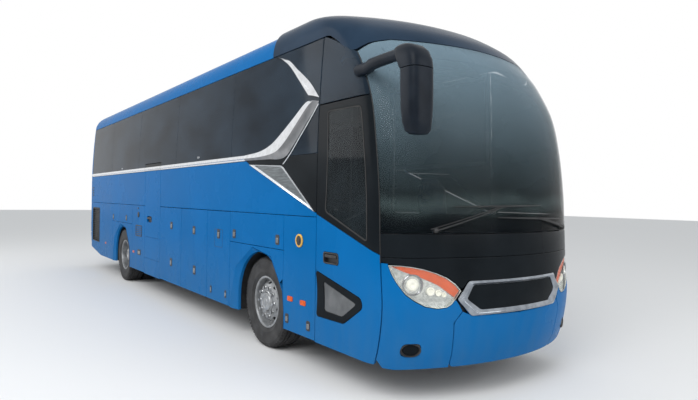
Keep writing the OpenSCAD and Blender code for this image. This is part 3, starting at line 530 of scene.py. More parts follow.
def wire(owner, start, out, end, into):
    getattr(owner, "node_tree", owner).links.new(start.outputs[out], end.inputs[into])


def wireAll(owner, *links):
    for link in links:
        wire(owner, *link)


def noiseField(mat, scale, detail=3.0, stretch=(1, 1, 1)):
    coords = addNode(mat, "ShaderNodeTexCoord")
    mapping = addNode(mat, "ShaderNodeMapping", Scale=stretch)
    noise = addNode(mat, "ShaderNodeTexNoise", Scale=scale, Detail=detail, Roughness=0.5)
    wire(mat, coords, "Object", mapping, "Vector")
    wire(mat, mapping, "Vector", noise, "Vector")
    return noise


def ramp(mat, source, out, stops):
    node = addNode(mat, "ShaderNodeValToRGB")
    elements = node.color_ramp.elements
    while len(elements) < len(stops):
        elements.new(0.5)
    for element, (at, value) in zip(elements, stops):
        element.position = at
        element.color = (*value, 1) if isinstance(value, tuple) else (value, value, value, 1)
    wire(mat, source, out, node, "Fac")
    return node


def bumped(mat, source, out, strength, distance):
    bump = addNode(mat, "ShaderNodeBump", Strength=strength, Distance=distance)
    wire(mat, source, out, bump, "Height")
    wire(mat, bump, "Normal", mat.node_tree.nodes["Principled BSDF"], "Normal")
    return mat


# runs from 0 to 1 between two heights above the ground
def heightShare(mat, start, end):
    coords = addNode(mat, "ShaderNodeTexCoord")
    split = addNode(mat, "ShaderNodeSeparateXYZ")
    share = addNode(mat, "ShaderNodeMapRange", **{"From Min": start, "From Max": end})
    wire(mat, coords, "Object", split, "Vector")
    wire(mat, split, "Z", share, "Value")
    return share


# colour and roughness that wander a little, with road film near the ground if skirt is given; on the black
# cap and the side glass the two colours are painted sky reflection
def wornAndSheened(name, color, deep, dustAndSheen, scale, rough, bump=0.0, bumpScale=300, skirt=None, stretch=(1, 1, 1),
    **looks):
    mat = material(name, color, **looks)
    shader = mat.node_tree.nodes["Principled BSDF"]
    noise = noiseField(mat, scale, 4.0, stretch)
    tone = ramp(mat, noise, "Fac", [(0.35, deep), (0.75, dustAndSheen)])
    wire(mat, tone, "Color", shader, "Base Color")
    if skirt:
        height = heightShare(mat, skirt["top"], skirt["low"])
        streak = noiseField(mat, 9.0, 6.0, (1, 1, 0.25))
        amount = addNode(mat, "ShaderNodeMath", operation="MULTIPLY")
        wire(mat, height, "Result", amount, 0)
        wire(mat, streak, "Fac", amount, 1)
        film = addNode(mat, "ShaderNodeMix", data_type="RGBA")
        film.inputs[7].default_value = (*skirt["color"], 1)
        wire(mat, amount, "Value", film, 0)
        wire(mat, tone, "Color", film, 6)
        wire(mat, film, 2, shader, "Base Color")
    gloss = addNode(mat, "ShaderNodeMapRange", **{"To Min": rough[0], "To Max": rough[1]})
    wire(mat, noise, "Fac", gloss, "Value")
    wire(mat, gloss, "Result", shader, "Roughness")
    if bump:
        grain = noiseField(mat, bumpScale, 2.0)
        bumped(mat, grain, "Fac", bump, 0.001)
    return mat


# painted reflection and shade: colour that changes with the height above the ground, its bands shifted a
# little by noise
def paintedReflectionByHeight(mat, stops, low, high):
    shader = mat.node_tree.nodes["Principled BSDF"]
    share = heightShare(mat, low, high)
    bandWobble = noiseField(mat, 1.7, 5.0)
    drift = addNode(mat, "ShaderNodeMath", operation="MULTIPLY_ADD")
    drift.inputs[1].default_value = 0.16
    drift.inputs[2].default_value = -0.08
    wire(mat, bandWobble, "Fac", drift, 0)
    total = addNode(mat, "ShaderNodeMath", operation="ADD")
    wire(mat, share, "Result", total, 0)
    wire(mat, drift, "Value", total, 1)
    tone = ramp(mat, total, "Value", stops)
    wire(mat, tone, "Color", shader, "Base Color")
    return mat


paints = {
    "blue": (0.001, 0.115, 0.335),
    "blueDusty": (0.003, 0.130, 0.375),
    "roadFilm": (0.05, 0.14, 0.27),
    "black": (0.006, 0.008, 0.010),
    "amber": (0.70, 0.09, 0.006),
    "red": (0.42, 0.008, 0.01),
}

bluePaint = wornAndSheened("bluePaint", paints["blue"], paints["blue"], paints["blueDusty"], 1.3, (0.2, 0.34),
    coat=0, specular=0.016, bump=0.03, bumpScale=220,
    skirt={"top": 1.2, "low": -0.2, "color": paints["roadFilm"]})
blackGloss = wornAndSheened("blackGloss", paints["black"], paints["black"], (0.010, 0.013, 0.016), 2.2, (0.1, 0.24),
    coat=0, specular=0.035, bump=0.02, bumpScale=200)
# painted reflection: blue-grey tones lift the black cap to stand in for the sky's sheen on it
capBlack = wornAndSheened("capBlack", (0.02, 0.03, 0.045), (0.014, 0.028, 0.050), (0.024, 0.044, 0.074), 1.8,
    (0.16, 0.3), coat=0, specular=0.025, bump=0.03, bumpScale=160)
# painted reflection: dark blue-grey tones stand in for the sky reflected in the side and rear windows
sideGlass = wornAndSheened("sideGlass", (0.008, 0.014, 0.022), (0.008, 0.014, 0.022), (0.024, 0.040, 0.060), 0.9,
    (0.03, 0.09), alpha=0.93, specular=0.045, bump=0.04, bumpScale=3.0, stretch=(1, 1, 2))
# painted shade and reflection on the windshield: dark at its foot, a lighter band low down by the dash,
# then lighter and bluer towards the top for the sky's reflection
frontGlass = paintedReflectionByHeight(material("frontGlass", (0.03, 0.04, 0.05), 0.05, alpha=0.5, specular=0.03),
    [(0.0, (0.004, 0.006, 0.008)), (0.06, (0.010, 0.014, 0.016)), (0.13, (0.055, 0.078, 0.080)),
    (0.19, (0.022, 0.031, 0.034)), (0.34, (0.045, 0.066, 0.076)), (0.62, (0.115, 0.165, 0.195)),
    (1.0, (0.22, 0.32, 0.39))], 1.5, 3.2)
chrome = wornAndSheened("chrome", (0.8, 0.82, 0.84), (0.78, 0.8, 0.83), (0.66, 0.68, 0.7), 14.0, (0.06, 0.16),
    metallic=1.0)
steelTrim = wornAndSheened("steelTrim", (0.42, 0.44, 0.46), (0.34, 0.37, 0.41), (0.19, 0.21, 0.24), 11.0,
    (0.1, 0.22), metallic=1.0)
darkChrome = wornAndSheened("darkChrome", (0.3, 0.31, 0.32), (0.3, 0.3, 0.31), (0.2, 0.21, 0.22), 9.0, (0.12, 0.26),
    metallic=1.0)
brushedGrey = wornAndSheened("brushedGrey", (0.3, 0.31, 0.32), (0.17, 0.19, 0.20), (0.07, 0.078, 0.085), 22.0,
    (0.18, 0.5), metallic=0.9, bump=0.1, bumpScale=90, stretch=(0.3, 1, 3))
blackPlastic = wornAndSheened("blackPlastic", (0.012, 0.012, 0.013), (0.010, 0.010, 0.011), (0.03, 0.031, 0.033),
    12.0, (0.4, 0.6), bump=0.15, bumpScale=900)
mirrorPlastic = wornAndSheened("mirrorPlastic", (0.012, 0.014, 0.018), (0.006, 0.009, 0.014), (0.014, 0.019, 0.027),
    5.0, (0.3, 0.46), coat=0, specular=0.08, bump=0.08, bumpScale=700)
sealRubber = wornAndSheened("sealRubber", (0.008, 0.008, 0.008), (0.006, 0.006, 0.006), (0.02, 0.02, 0.02), 30.0,
    (0.5, 0.7))
tyreRubber = wornAndSheened("tyreRubber", (0.02, 0.02, 0.021), (0.013, 0.013, 0.014), (0.055, 0.055, 0.056), 7.0,
    (0.62, 0.85), bump=0.25, bumpScale=500)
rimPaint = wornAndSheened("rimPaint", (0.3, 0.31, 0.33), (0.33, 0.34, 0.35), (0.15, 0.155, 0.16), 9.0, (0.32, 0.55),
    metallic=0.55, bump=0.12, bumpScale=260)
hubSteel = wornAndSheened("hubSteel", (0.4, 0.41, 0.42), (0.42, 0.43, 0.44), (0.2, 0.205, 0.21), 16.0, (0.25, 0.5),
    metallic=0.85, bump=0.1, bumpScale=320)
framePaint = wornAndSheened("framePaint", (0.03, 0.031, 0.033), (0.022, 0.023, 0.025), (0.07, 0.068, 0.064), 5.0,
    (0.5, 0.8), bump=0.25, bumpScale=160)
underSheet = wornAndSheened("underSheet", (0.03, 0.03, 0.03), (0.018, 0.018, 0.018), (0.06, 0.058, 0.054), 3.0,
    (0.6, 0.9), bump=0.3, bumpScale=120)
engineIron = wornAndSheened("engineIron", (0.1, 0.1, 0.1), (0.09, 0.09, 0.09), (0.035, 0.032, 0.03), 8.0,
    (0.45, 0.75), metallic=0.6, bump=0.4, bumpScale=90)
floorVinyl = wornAndSheened("floorVinyl", (0.12, 0.12, 0.125), (0.10, 0.10, 0.105), (0.17, 0.17, 0.175), 60.0,
    (0.4, 0.6), bump=0.1, bumpScale=500)
cabinTrim = wornAndSheened("cabinTrim", (0.3, 0.31, 0.32), (0.28, 0.29, 0.3), (0.36, 0.37, 0.38), 6.0, (0.5, 0.7),
    bump=0.1, bumpScale=600)
dashPlastic = wornAndSheened("dashPlastic", (0.045, 0.047, 0.052), (0.04, 0.042, 0.047), (0.075, 0.078, 0.085),
    10.0, (0.45, 0.65), bump=0.2, bumpScale=700)
lampSilver = wornAndSheened("lampSilver", (0.85, 0.86, 0.82), (0.74, 0.76, 0.71), (0.44, 0.46, 0.45), 30.0,
    (0.08, 0.2), metallic=0.9)
lampGlow = wornAndSheened("lampGlow", (0.9, 0.88, 0.75), (0.95, 0.93, 0.8), (0.8, 0.79, 0.7), 25.0, (0.2, 0.35))
clearLens = wornAndSheened("clearLens", (0.5, 0.52, 0.52), (0.5, 0.52, 0.52), (0.4, 0.42, 0.42), 5.0, (0.03, 0.08),
    alpha=0.07)
amberLens = wornAndSheened("amberLens", paints["amber"], paints["amber"], (0.5, 0.07, 0.004), 40.0, (0.12, 0.25),
    coat=0.1, specular=0.15, bump=0.2, bumpScale=160)
redLens = wornAndSheened("redLens", paints["red"], paints["red"], (0.25, 0.004, 0.005), 40.0, (0.12, 0.25),
    coat=0.3, specular=0.2, bump=0.2, bumpScale=160)
mirrorGlass = wornAndSheened("mirrorGlass", (0.75, 0.78, 0.8), (0.78, 0.8, 0.82), (0.7, 0.72, 0.75), 3.0,
    (0.02, 0.05), metallic=1.0)
yellowEnamel = wornAndSheened("yellowEnamel", (0.75, 0.42, 0.05), (0.75, 0.42, 0.05), (0.5, 0.27, 0.04), 20.0,
    (0.3, 0.5), coat=0.5)
paleLabel = wornAndSheened("paleLabel", (0.6, 0.62, 0.64), (0.6, 0.62, 0.64), (0.45, 0.47, 0.5), 14.0, (0.4, 0.6))
doorGlass = wornAndSheened("doorGlass", (0.01, 0.011, 0.012), (0.006, 0.009, 0.011), (0.020, 0.028, 0.033), 1.6,
    (0.03, 0.09), alpha=0.72, specular=0.06, bump=0.03, bumpScale=2.5)
headCloth = wornAndSheened("headCloth", (0.25, 0.26, 0.28), (0.22, 0.23, 0.25), (0.3, 0.31, 0.33), 30.0,
    (0.8, 0.95), bump=0.3, bumpScale=700)
paneGrey = wornAndSheened("paneGrey", (0.10, 0.105, 0.11), (0.07, 0.075, 0.08), (0.15, 0.155, 0.16), 5.0,
    (0.1, 0.3), alpha=0.95, bump=0.05, bumpScale=6.0)


def seatCloth():
    mat = material("seatCloth", (0.03, 0.05, 0.12), 0.9)
    shader = mat.node_tree.nodes["Principled BSDF"]
    shader.inputs["Sheen Weight"].default_value = 0.4
    coords = addNode(mat, "ShaderNodeTexCoord")
    weave = addNode(mat, "ShaderNodeTexVoronoi", Scale=260.0)
    patches = addNode(mat, "ShaderNodeTexVoronoi", Scale=34.0)
    wire(mat, coords, "Object", weave, "Vector")
    wire(mat, coords, "Object", patches, "Vector")
    tone = ramp(mat, patches, "Distance", [(0.2, (0.025, 0.045, 0.13)), (0.42, (0.012, 0.018, 0.05)),
        (0.7, (0.07, 0.075, 0.09))])
    wire(mat, tone, "Color", shader, "Base Color")
    return bumped(mat, weave, "Distance", 0.4, 0.002)


seatFabric = seatCloth()
cadFinish = [
    (framePaint, ["chassis_frame", "front_axle", "rear_axle", "right_knuckle", "left_knuckle"]),
    (engineIron, ["engine"]),
    (underSheet, ["underbody"]),
    (floorVinyl, ["floor", "front_stairs", "middle_stairs"]),
    (hubSteel, ["front_door_arm", "mid_door_arm"]),
]
for finish, nodeNames in cadFinish:
    for nodeName in nodeNames:
        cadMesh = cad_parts[nodeName].data
        cadMesh.materials.clear()
        cadMesh.materials.append(finish)
print("finishes made")

# camera, floor and light

cameraSet = {"place": (9.094, -4.224, 1.734), "azimuth": 54.427, "elevation": -0.12, "roll": 0.93,
    "lens": 29.16}


def makeCamera():
    data = bpy.data.cameras.new("camera")
    data.lens, data.sensor_width = cameraSet["lens"], 36.0
    data.clip_end = 200
    cam = bpy.data.objects.new("camera", data)
    bpy.context.scene.collection.objects.link(cam)
    az, el, roll = (math.radians(cameraSet[k]) for k in ("azimuth", "elevation", "roll"))
    ahead = Vector((-math.sin(az) * math.cos(el), math.cos(az) * math.cos(el), math.sin(el)))
    right = ahead.cross(Vector((0, 0, 1))).normalized()
    up = right.cross(ahead)
    right, up = right * math.cos(roll) + up * math.sin(roll), up * math.cos(roll) - right * math.sin(roll)
    turn = Matrix((right, up, -ahead)).transposed().to_4x4()
    cam.matrix_world = Matrix.Translation(cameraSet["place"]) @ turn
    bpy.context.scene.camera = cam


studio = {"worldStrength": 0.75, "keyPower": 900, "fillPower": 500, "frontPower": 420,
    "floorColor": (0.8, 0.8, 0.8)}


def makeStudio():
    world = bpy.data.worlds.new("studio")
    bpy.context.scene.world = world
    world.use_nodes = True
    tree = world.node_tree
    background = tree.nodes["Background"]
    coords = addNode(tree, "ShaderNodeTexCoord")
    split = addNode(tree, "ShaderNodeSeparateXYZ")
    sky = addNode(tree, "ShaderNodeValToRGB")
    path = addNode(tree, "ShaderNodeLightPath")
    shift = addNode(tree, "ShaderNodeMapRange", **{"From Min": -0.1, "From Max": 1.0})
    mix = addNode(tree, "ShaderNodeMix", data_type="RGBA")
    strength = addNode(tree, "ShaderNodeMix")
    wire(tree, coords, "Generated", split, 0)
    wireAll(tree, (split, "Z", shift, "Value"), (shift, "Result", sky, "Fac"))
    stops = sky.color_ramp.elements
    stops[0].position, stops[0].color = 0.09, (0.42, 0.44, 0.46, 1)
    stops[1].position, stops[1].color = 0.75, (0.95, 0.98, 1.0, 1)
    low = stops.new(0.2)
    low.color = (0.6, 0.63, 0.66, 1)
    seen = addNode(tree, "ShaderNodeMath", operation="ADD", use_clamp=True)
    through = addNode(tree, "ShaderNodeMath", operation="ADD", use_clamp=True)
    wireAll(tree,
        (path, "Is Camera Ray", seen, 0), (path, "Is Glossy Ray", seen, 1), (seen, 0, through, 0),
        (path, "Is Transmission Ray", through, 1), (through, 0, mix, 0), (sky, "Color", mix, 6))
    mix.inputs[7].default_value = (1, 1, 1, 1)
    wireAll(tree, (mix, 2, background, "Color"), (through, 0, strength, 0))
    strength.inputs[2].default_value, strength.inputs[3].default_value = studio["worldStrength"], 1.0
    wire(tree, strength, 0, background, "Strength")
    mesh = bpy.data.meshes.new("floorSheet")
    mesh.from_pydata([(-60, -60, 0), (60, -60, 0), (60, 60, 0), (-60, 60, 0)], [], [(0, 1, 2, 3)])
    floor = bpy.data.objects.new("floorSheet", mesh)
    bpy.context.scene.collection.objects.link(floor)
    mesh.materials.append(material("studioFloor", studio["floorColor"], 0.9))
    for name, place, power, size in (("key", (9, -9, 9), studio["keyPower"], 7),
        ("fill", (-6, -11, 7), studio["fillPower"], 8), ("front", (15, 3, 5), studio["frontPower"], 7)):
        data = bpy.data.lights.new(name, "AREA")
        data.energy, data.size = power, size
        lamp = bpy.data.objects.new(name, data)
        bpy.context.scene.collection.objects.link(lamp)
        aim = Vector((0.5, 0, 1.2)) - Vector(place)
        lamp.matrix_world = Matrix.Translation(place) @ aim.to_track_quat("-Z", "Y").to_matrix().to_4x4()
    bpy.context.scene.view_settings.view_transform = "Standard"


makeCamera()
makeStudio()
print("camera and studio set")

# side panels

sides = {
    "doorRear": 1.444, "flapRear": 2.0945, "hatchRear": 3.483, "serviceRear": 4.247, "hatchLow": 1.172,
    "midFront": 6.354, "midRear": 7.25, "bayRear": 8.068, "rearHatchRear": 9.64, "rampStart": 10.73,
    "rampTop": 0.47,
    "insert": [(2.953, 2.116), (2.131, 2.079), (1.463, 1.594)],
    "joints": [3.49, 5.59, 7.69, 9.79],
    "post": 0.055,  # half of the width of a post between two panes
    "vent": [(10.88, 0.63), (11.62, 0.64), (11.62, 1.43), (10.88, 1.43)],
}
lipAngles = [0, 20, 62, 105, 150, 180]
lipRadii = [0.612, 0.615, 0.63, 0.645, 0.70, 0.74]


def lipPoint(axle, angle, radius=None):
    corners = [(r * math.cos(math.radians(a)), r * math.sin(math.radians(a))) for a,
        r in zip(lipAngles, lipRadii)]
    if radius is None:
        k = max(i for i in range(len(lipAngles) - 1) if lipAngles[i] <= angle)
        (x0, z0), (x1, z1) = corners[k], corners[k + 1]
        c, s = math.cos(math.radians(angle)), math.sin(math.radians(angle))
        t = (z0 * c - x0 * s) / ((x1 - x0) * s - (z1 - z0) * c)
        x, z = x0 + (x1 - x0) * t, z0 + (z1 - z0) * t
    else:
        x, z = radius * math.cos(math.radians(angle)), radius * math.sin(math.radians(angle))
    return (axle - x, coach["axleHeight"] + z)


def archLip(parts, surface, axle):
    low = coach["skirt"]
    pairs = [((axle - lipRadii[0], low), (axle - coach["archRadius"], low))]
    pairs += [(lipPoint(axle, a), lipPoint(axle, a, coach["archRadius"])) for a in range(0, 180, 4)]
    pairs += [((axle + lipRadii[-1], coach["axleHeight"]), (axle + coach["archRadius"],
        coach["axleHeight"]))]
    pairs += [((axle + lipRadii[-1], low), (axle + coach["archRadius"], low))]
    sections = [(0, -0.06), (0, -0.0015), (0.02, 0.003), (0.5, -0.012), (0.96, -0.024), (1, -0.032),
        (1, -0.06)]
    ribbon(parts, surface, *zip(*pairs), sections)


def sidePanels(name, surface, body, replaces, right):
    s, g = sides, coach
    parts = Parts()
    wide = (0.5, 0.3)

    def panel(points, **more):
        skin(parts, surface, points, thick=0.045, cell=wide, step=0.2, backMat=1, **more)

    gapFront, gapRear = (s["midFront"], s["midRear"]) if right else (6.354, 6.354)
    tip = s["insert"]
    panel([(gapFront, g["panelTop"]), (gapFront, g["belt"] - 0.002), (3.05, g["belt"] - 0.002), tip[0],
        tip[2], (g["sideFront"], 1.583), (g["sideFront"], g["panelTop"])])
    panel(rect(gapRear, g["sideRear"], g["panelTop"], g["belt"] - 0.002))
    cut = [lipPoint(g["frontAxle"], a) for a in (18, 8, 0)]
    panel([(g["sideFront"], g["skirt"]), (g["sideFront"], g["panelTop"]), (s["flapRear"], g["panelTop"]),
        (s["flapRear"], cut[0][1]), *cut[1:], (cut[2][0], g["skirt"])])
    panel(rect(s["flapRear"], s["hatchRear"], s["hatchLow"], g["panelTop"]))
    over = [lipPoint(g["frontAxle"], a) for a in (18, 20, 40, 62, 84, 105, 128, 150, 165, 179.9)]
    panel([(s["hatchRear"], s["hatchLow"]), (s["flapRear"], s["hatchLow"]), (s["flapRear"], over[0][1]),
        *over[1:], (over[-1][0], g["skirt"]), (s["hatchRear"], g["skirt"])])
    if not right:
        panel(rect(s["hatchRear"], s["serviceRear"], g["skirt"], g["panelTop"]))
    # around the rear wheel
    axle = g["rearAxle"]
    front, rear = s["bayRear"], s["rearHatchRear"]
    if right:
        panel(rect(s["midRear"], front, g["skirt"], g["panelTop"]))
    panel(rect(front, rear, s["hatchLow"] + 0.01, g["panelTop"]))
    over = [lipPoint(axle, a) for a in (0, 20, 40, 62, 84, 105, 128, 150, 165, 179.9)]
    panel([(rear, s["hatchLow"] + 0.01), (front, s["hatchLow"] + 0.01), (front, g["skirt"]),
        (over[0][0], g["skirt"]), *over, (over[-1][0], g["skirt"]), (rear, g["skirt"])])
    vent = rounded(s["vent"], 0.04)
    panel([(rear, g["skirt"]), (s["rampStart"], g["skirt"]), (g["sideRear"], s["rampTop"]),
        (g["sideRear"], g["panelTop"]), (rear, g["panelTop"])], holes=[vent])
    archLip(parts, surface, g["frontAxle"])
    archLip(parts, surface, axle)
    # posts between the panes, behind the glass
    zs = (g["belt"] - 0.004, g["belt"] + 0.06, g["glassTop"] - 0.06, g["glassTop"] - 0.004)
    edges = [g["sideFront"], *s["joints"], g["sideRear"]]
    holes = [rect(a + s["post"], b - s["post"], zs[1], zs[2]) for a, b in zip(edges, edges[1:])]
    skin(parts, below(surface, 0.014), rect(g["sideFront"], g["sideRear"], zs[0], zs[3]), holes,
        thick=0.034, roll=0.002, cell=(2, 0.08), step=0.4, mat=2, backMat=1)
    obj = piece(name, body, parts, [bluePaint, cabinTrim, blackPlastic], replaces)
    return fixNormals(obj)


sidePanels("right_side_panels", rightSide, "coach", ["right_wall"], True)
sidePanels("left_side_panels", leftSide, "coach", ["left_wall"], False)
print("side panels made")


def sideGlazing(surface, right):
    s, g = sides, coach
    parts = Parts()
    edges = [g["sideFront"], *s["joints"], g["sideRear"]]
    low, high = g["belt"] + 0.004, g["glassTop"] - 0.002
    for i, (a, b) in enumerate(zip(edges, edges[1:])):
        loop = rect(a, b, low, high)
        if right and a < s["midFront"] < b:
            loop = [(a, low), (s["midFront"] - 0.003, low), (s["midFront"] - 0.003, 2.296),
                (s["midRear"] + 0.003, 2.296), (s["midRear"] + 0.003, low), (b, low), (b, high),
                (a, high)]
        skin(parts, surface, loop, thick=0.012, roll=0.003, cell=(0.5, 0.07), step=0.25, inset=0.002)
    return parts


def corner(sign):  # the front surface with u counted up from the middle line on one side
    return lambda a, b, off=0: frontAt(sign * np.asarray(a, float), b, off)


def capEdge(u):
    dip = [(0, 0), (1.0, -0.008), (1.2, -0.05), (1.38, -0.13), (1.48, -0.06), (1.58, 0.04), (1.68, 0.113)]
    return 3.2 + np.interp(np.abs(u), *zip(*dip))


front = {"doorU": 1.38, "lampGap": 0.004, "sill": 1.45, "doorTop": 2.64, "cabSill": 1.6, "paneHalf": 1.377,
    "clearView": [(-1.30, 1.62), (1.30, 1.62), (1.22, 2.6), (1.12, 3.02), (-1.12, 3.02), (-1.22, 2.6)]}


def makeGlazing():
    for name, surface, sign in (("right_side_glass", rightSide, -1), ("left_side_glass", leftSide, 1)):
        parts = sideGlazing(surface, sign < 0)
        low = front["doorTop"] + 0.006 if sign < 0 else front["cabSill"]
        post = [(float(sideU(1.444, z)), z) for z in np.linspace(low, 3.3, 9)]
        top = [(float(u), float(capEdge(u))) for u in np.linspace(1.69, front["doorU"], 9)]
        skin(parts, corner(sign), [(front["doorU"], low), *post,
            *[p for p in top if p[0] < post[-1][0]]], thick=0.012, roll=0.003, cell=(0.05, 0.06),
            inset=0.003)
        node = "right_windows" if sign < 0 else "left_windows"
        piece(name, "coach", parts, [sideGlass], [node])


def makeWindshield():
    half = front["paneHalf"]
    top = [(float(u), float(capEdge(u)) - 0.003) for u in np.linspace(half, -half, 45)]
    parts = Parts()
    skin(parts, frontAt, rounded([(-half, 1.452), (half, 1.452)], 0.0) + top, thick=0.01, roll=0.003,
        cell=(0.06, 0.06), inset=0.001)
    piece("windshield_glass", "coach", parts, [frontGlass], ["windshield"])
    # printed black border behind the glass, and the rubber round it
    border = Parts()
    hole = rounded(front["clearView"], 0.12)
    outer = [(-half, 1.454), (half, 1.454), *[(u, z - 0.004) for u, z in top]]
    skin(border, below(frontAt, 0.013), outer, [hole], thick=0.004, roll=0.001, cell=(0.08, 0.08),
        inset=0.002)
    piece("windshield_border", "coach", border, [blackGloss])
    seal = Parts()
    for s in (-1, 1):
        edge = [(s * front["doorU"], z) for z in np.linspace(1.2, 3.06, 14)]
        loop = [(u - 0.004, z) for u, z in edge] + [(u + 0.004, z) for u, z in edge[::-1]]
        skin(seal, below(frontAt, -0.002), loop, thick=0.012, roll=0.0015, cell=(1, 1), inset=0)
    piece("windshield_seals", "coach", seal, [sealRubber])


# lengths from the middle line and heights; sole is a lower edge
grille = {
    "edge": [(0, 1.055), (0.6, 1.047), (0.715, 0.905)],
    "sole": [(0, 0.755), (0.565, 0.763), (0.675, 0.825)],
    "outer": (0.718, 0.60, 1.053, 0.585, 0.757),
    "inner": (0.615, 0.545, 1.012, 0.475, 0.805),
}
lamp = {
    "top": [(0.677, 0.985), (0.803, 1.086), (1.007, 1.156), (1.31, 1.192)],
    "eye": (1.105, 1.026),
    "eyeRadius": 0.075,
    "fog": (1.095, 0.479),
    "outline": [(0.677, 0.972), (0.736, 0.902), (0.775, 0.862), (0.815, 0.84), (0.90, 0.832),
        (1.007, 0.852), (1.10, 0.90), (1.173, 0.952), (1.245, 1.048), (1.285, 1.12), (1.31, 1.187),
        (1.20, 1.186), (1.10, 1.175), (1.007, 1.156), (0.90, 1.124), (0.803, 1.082), (0.73, 1.032)],
    "amber": [(0.690, 0.972), (0.742, 0.918), (0.80, 0.965), (0.87, 1.015), (0.95, 1.052), (1.05, 1.092),
        (1.17, 1.130), (1.29, 1.178), (1.20, 1.180), (1.10, 1.168), (1.007, 1.150), (0.90, 1.117),
        (0.803, 1.074), (0.735, 1.026)],
}


def frontPanels():
    # black panel over lamps and grille
    parts = Parts()
    g = front["lampGap"]
    u = front["doorU"] - 0.003
    lampTop = [(p[0], p[1] + g) for p in lamp["top"]]
    crest = [(0.6, grille["edge"][1][1] + g), (0.655, 0.99 + g), *lampTop, (u, 1.212)]
    loop = [(-p[0], p[1]) for p in crest[::-1]] + crest + [(u, 1.25), (-u, 1.25)]
    skin(parts, frontAt, loop, thick=0.035, roll=0.004, cell=(0.06, 0.06), inset=0.002)
    skin(parts, frontAt, rect(-u, u, 1.2505, front["sill"] - 0.001), thick=0.035, roll=0.003,
        cell=(0.06, 0.06), inset=0.0012)
    piece("front_black_panel", "coach", parts, [blackGloss], ["front_panel"])
    # bumper: a middle and two corners
    parts = Parts()
    sole = [(-p[0], p[1] - g) for p in grille["sole"][::-1]] + [(p[0], p[1] - g) for p in grille["sole"]]
    middle = rounded([(-0.706, 0.30), (-0.74, 0.704), (-0.664, 0.799), *sole[1:-1], (0.664, 0.799),
        (0.74, 0.704), (0.706, 0.30)], [0.05, 0.03, 0, *[0] * (len(sole) - 2), 0, 0.03, 0.05], 3)
    skin(parts, frontAt, middle, thick=0.035, roll=0.006, cell=(0.05, 0.05))
    for s in (-1, 1):
        under = [(p[0], p[1] - g) for p in lamp["outline"][1:11]]
        loop = [(0.706, 0.30), (0.74, 0.704), (0.664, 0.80), (0.70, 0.862), (0.722, 0.893), *under,
            (1.31, 1.20), (u, 1.204), (u, 0.38), (1.30, 0.31), (1.2, 0.30)]
        fog = rounded(rect(lamp["fog"][0] - 0.085, lamp["fog"][0] + 0.085, 0.426, 0.532), 0.048)
        skin(parts, corner(s), loop, [fog], thick=0.035, roll=0.005, cell=(0.05, 0.05))
        # closes the view past the grille's corner
        skin(parts, below(corner(s), 0.042), rect(0.54, 0.76, 0.70, 0.93), thick=0.006, roll=0.001,
            cell=(0.06, 0.06), mat=1)
    piece("front_bumper_skin", "coach", parts, [bluePaint, blackPlastic], ["front_bumper"])


def along(points, n):
    p = np.array(points, float)
    d = np.r_[0, np.cumsum(np.linalg.norm(np.diff(p, axis=0), axis=1))]
    t = np.linspace(0, d[-1], n)
    return list(zip(np.interp(t, d, p[:, 0]), np.interp(t, d, p[:, 1])))


def curved(points, n):  # a smooth line through the points
    p = np.array(points, float)
    d = np.r_[0, np.cumsum(np.linalg.norm(np.diff(p, axis=0), axis=1))]
    t = np.linspace(0, d[-1], n)
    return list(zip(smoothCurve(list(zip(d, p[:, 0])), t), smoothCurve(list(zip(d, p[:, 1])), t)))


# a six-cornered loop: half width at its tips, then half width and height of its top and of its foot
def sixCornered(tip, topU, top, lowU, low):
    middle = 0.90
    return [(-tip, middle), (-lowU, low), (lowU, low), (tip, middle), (topU, top), (-topU, top)]


def evenly(loop, n=14):  # n points on each side, so that two such loops can be joined
    return [q for a, b in zip(loop, loop[1:] + loop[:1]) for q in along([a, b], n + 1)[:-1]]


def frontGrille():
    parts = Parts()
    outer, inner = (sixCornered(*grille[k]) for k in ("outer", "inner"))
    bezel(parts, frontAt, evenly(rounded(outer, 0.02, 2)), evenly(rounded(inner, 0.02, 2)),
        [(0, -0.03), (0, -0.002), (0.04, 0.006), (0.42, 0.016), (0.5, 0.015), (0.96, -0.006), (1, -0.014),
        (1, -0.03)])
    skin(parts, below(frontAt, 0.012), inner, thick=0.02, roll=0.002, cell=(0.06, 0.06), mat=1,
        inset=-0.006)
    piece("grille_surround", "coach", parts, [steelTrim, blackGloss], ["grille"], 25)


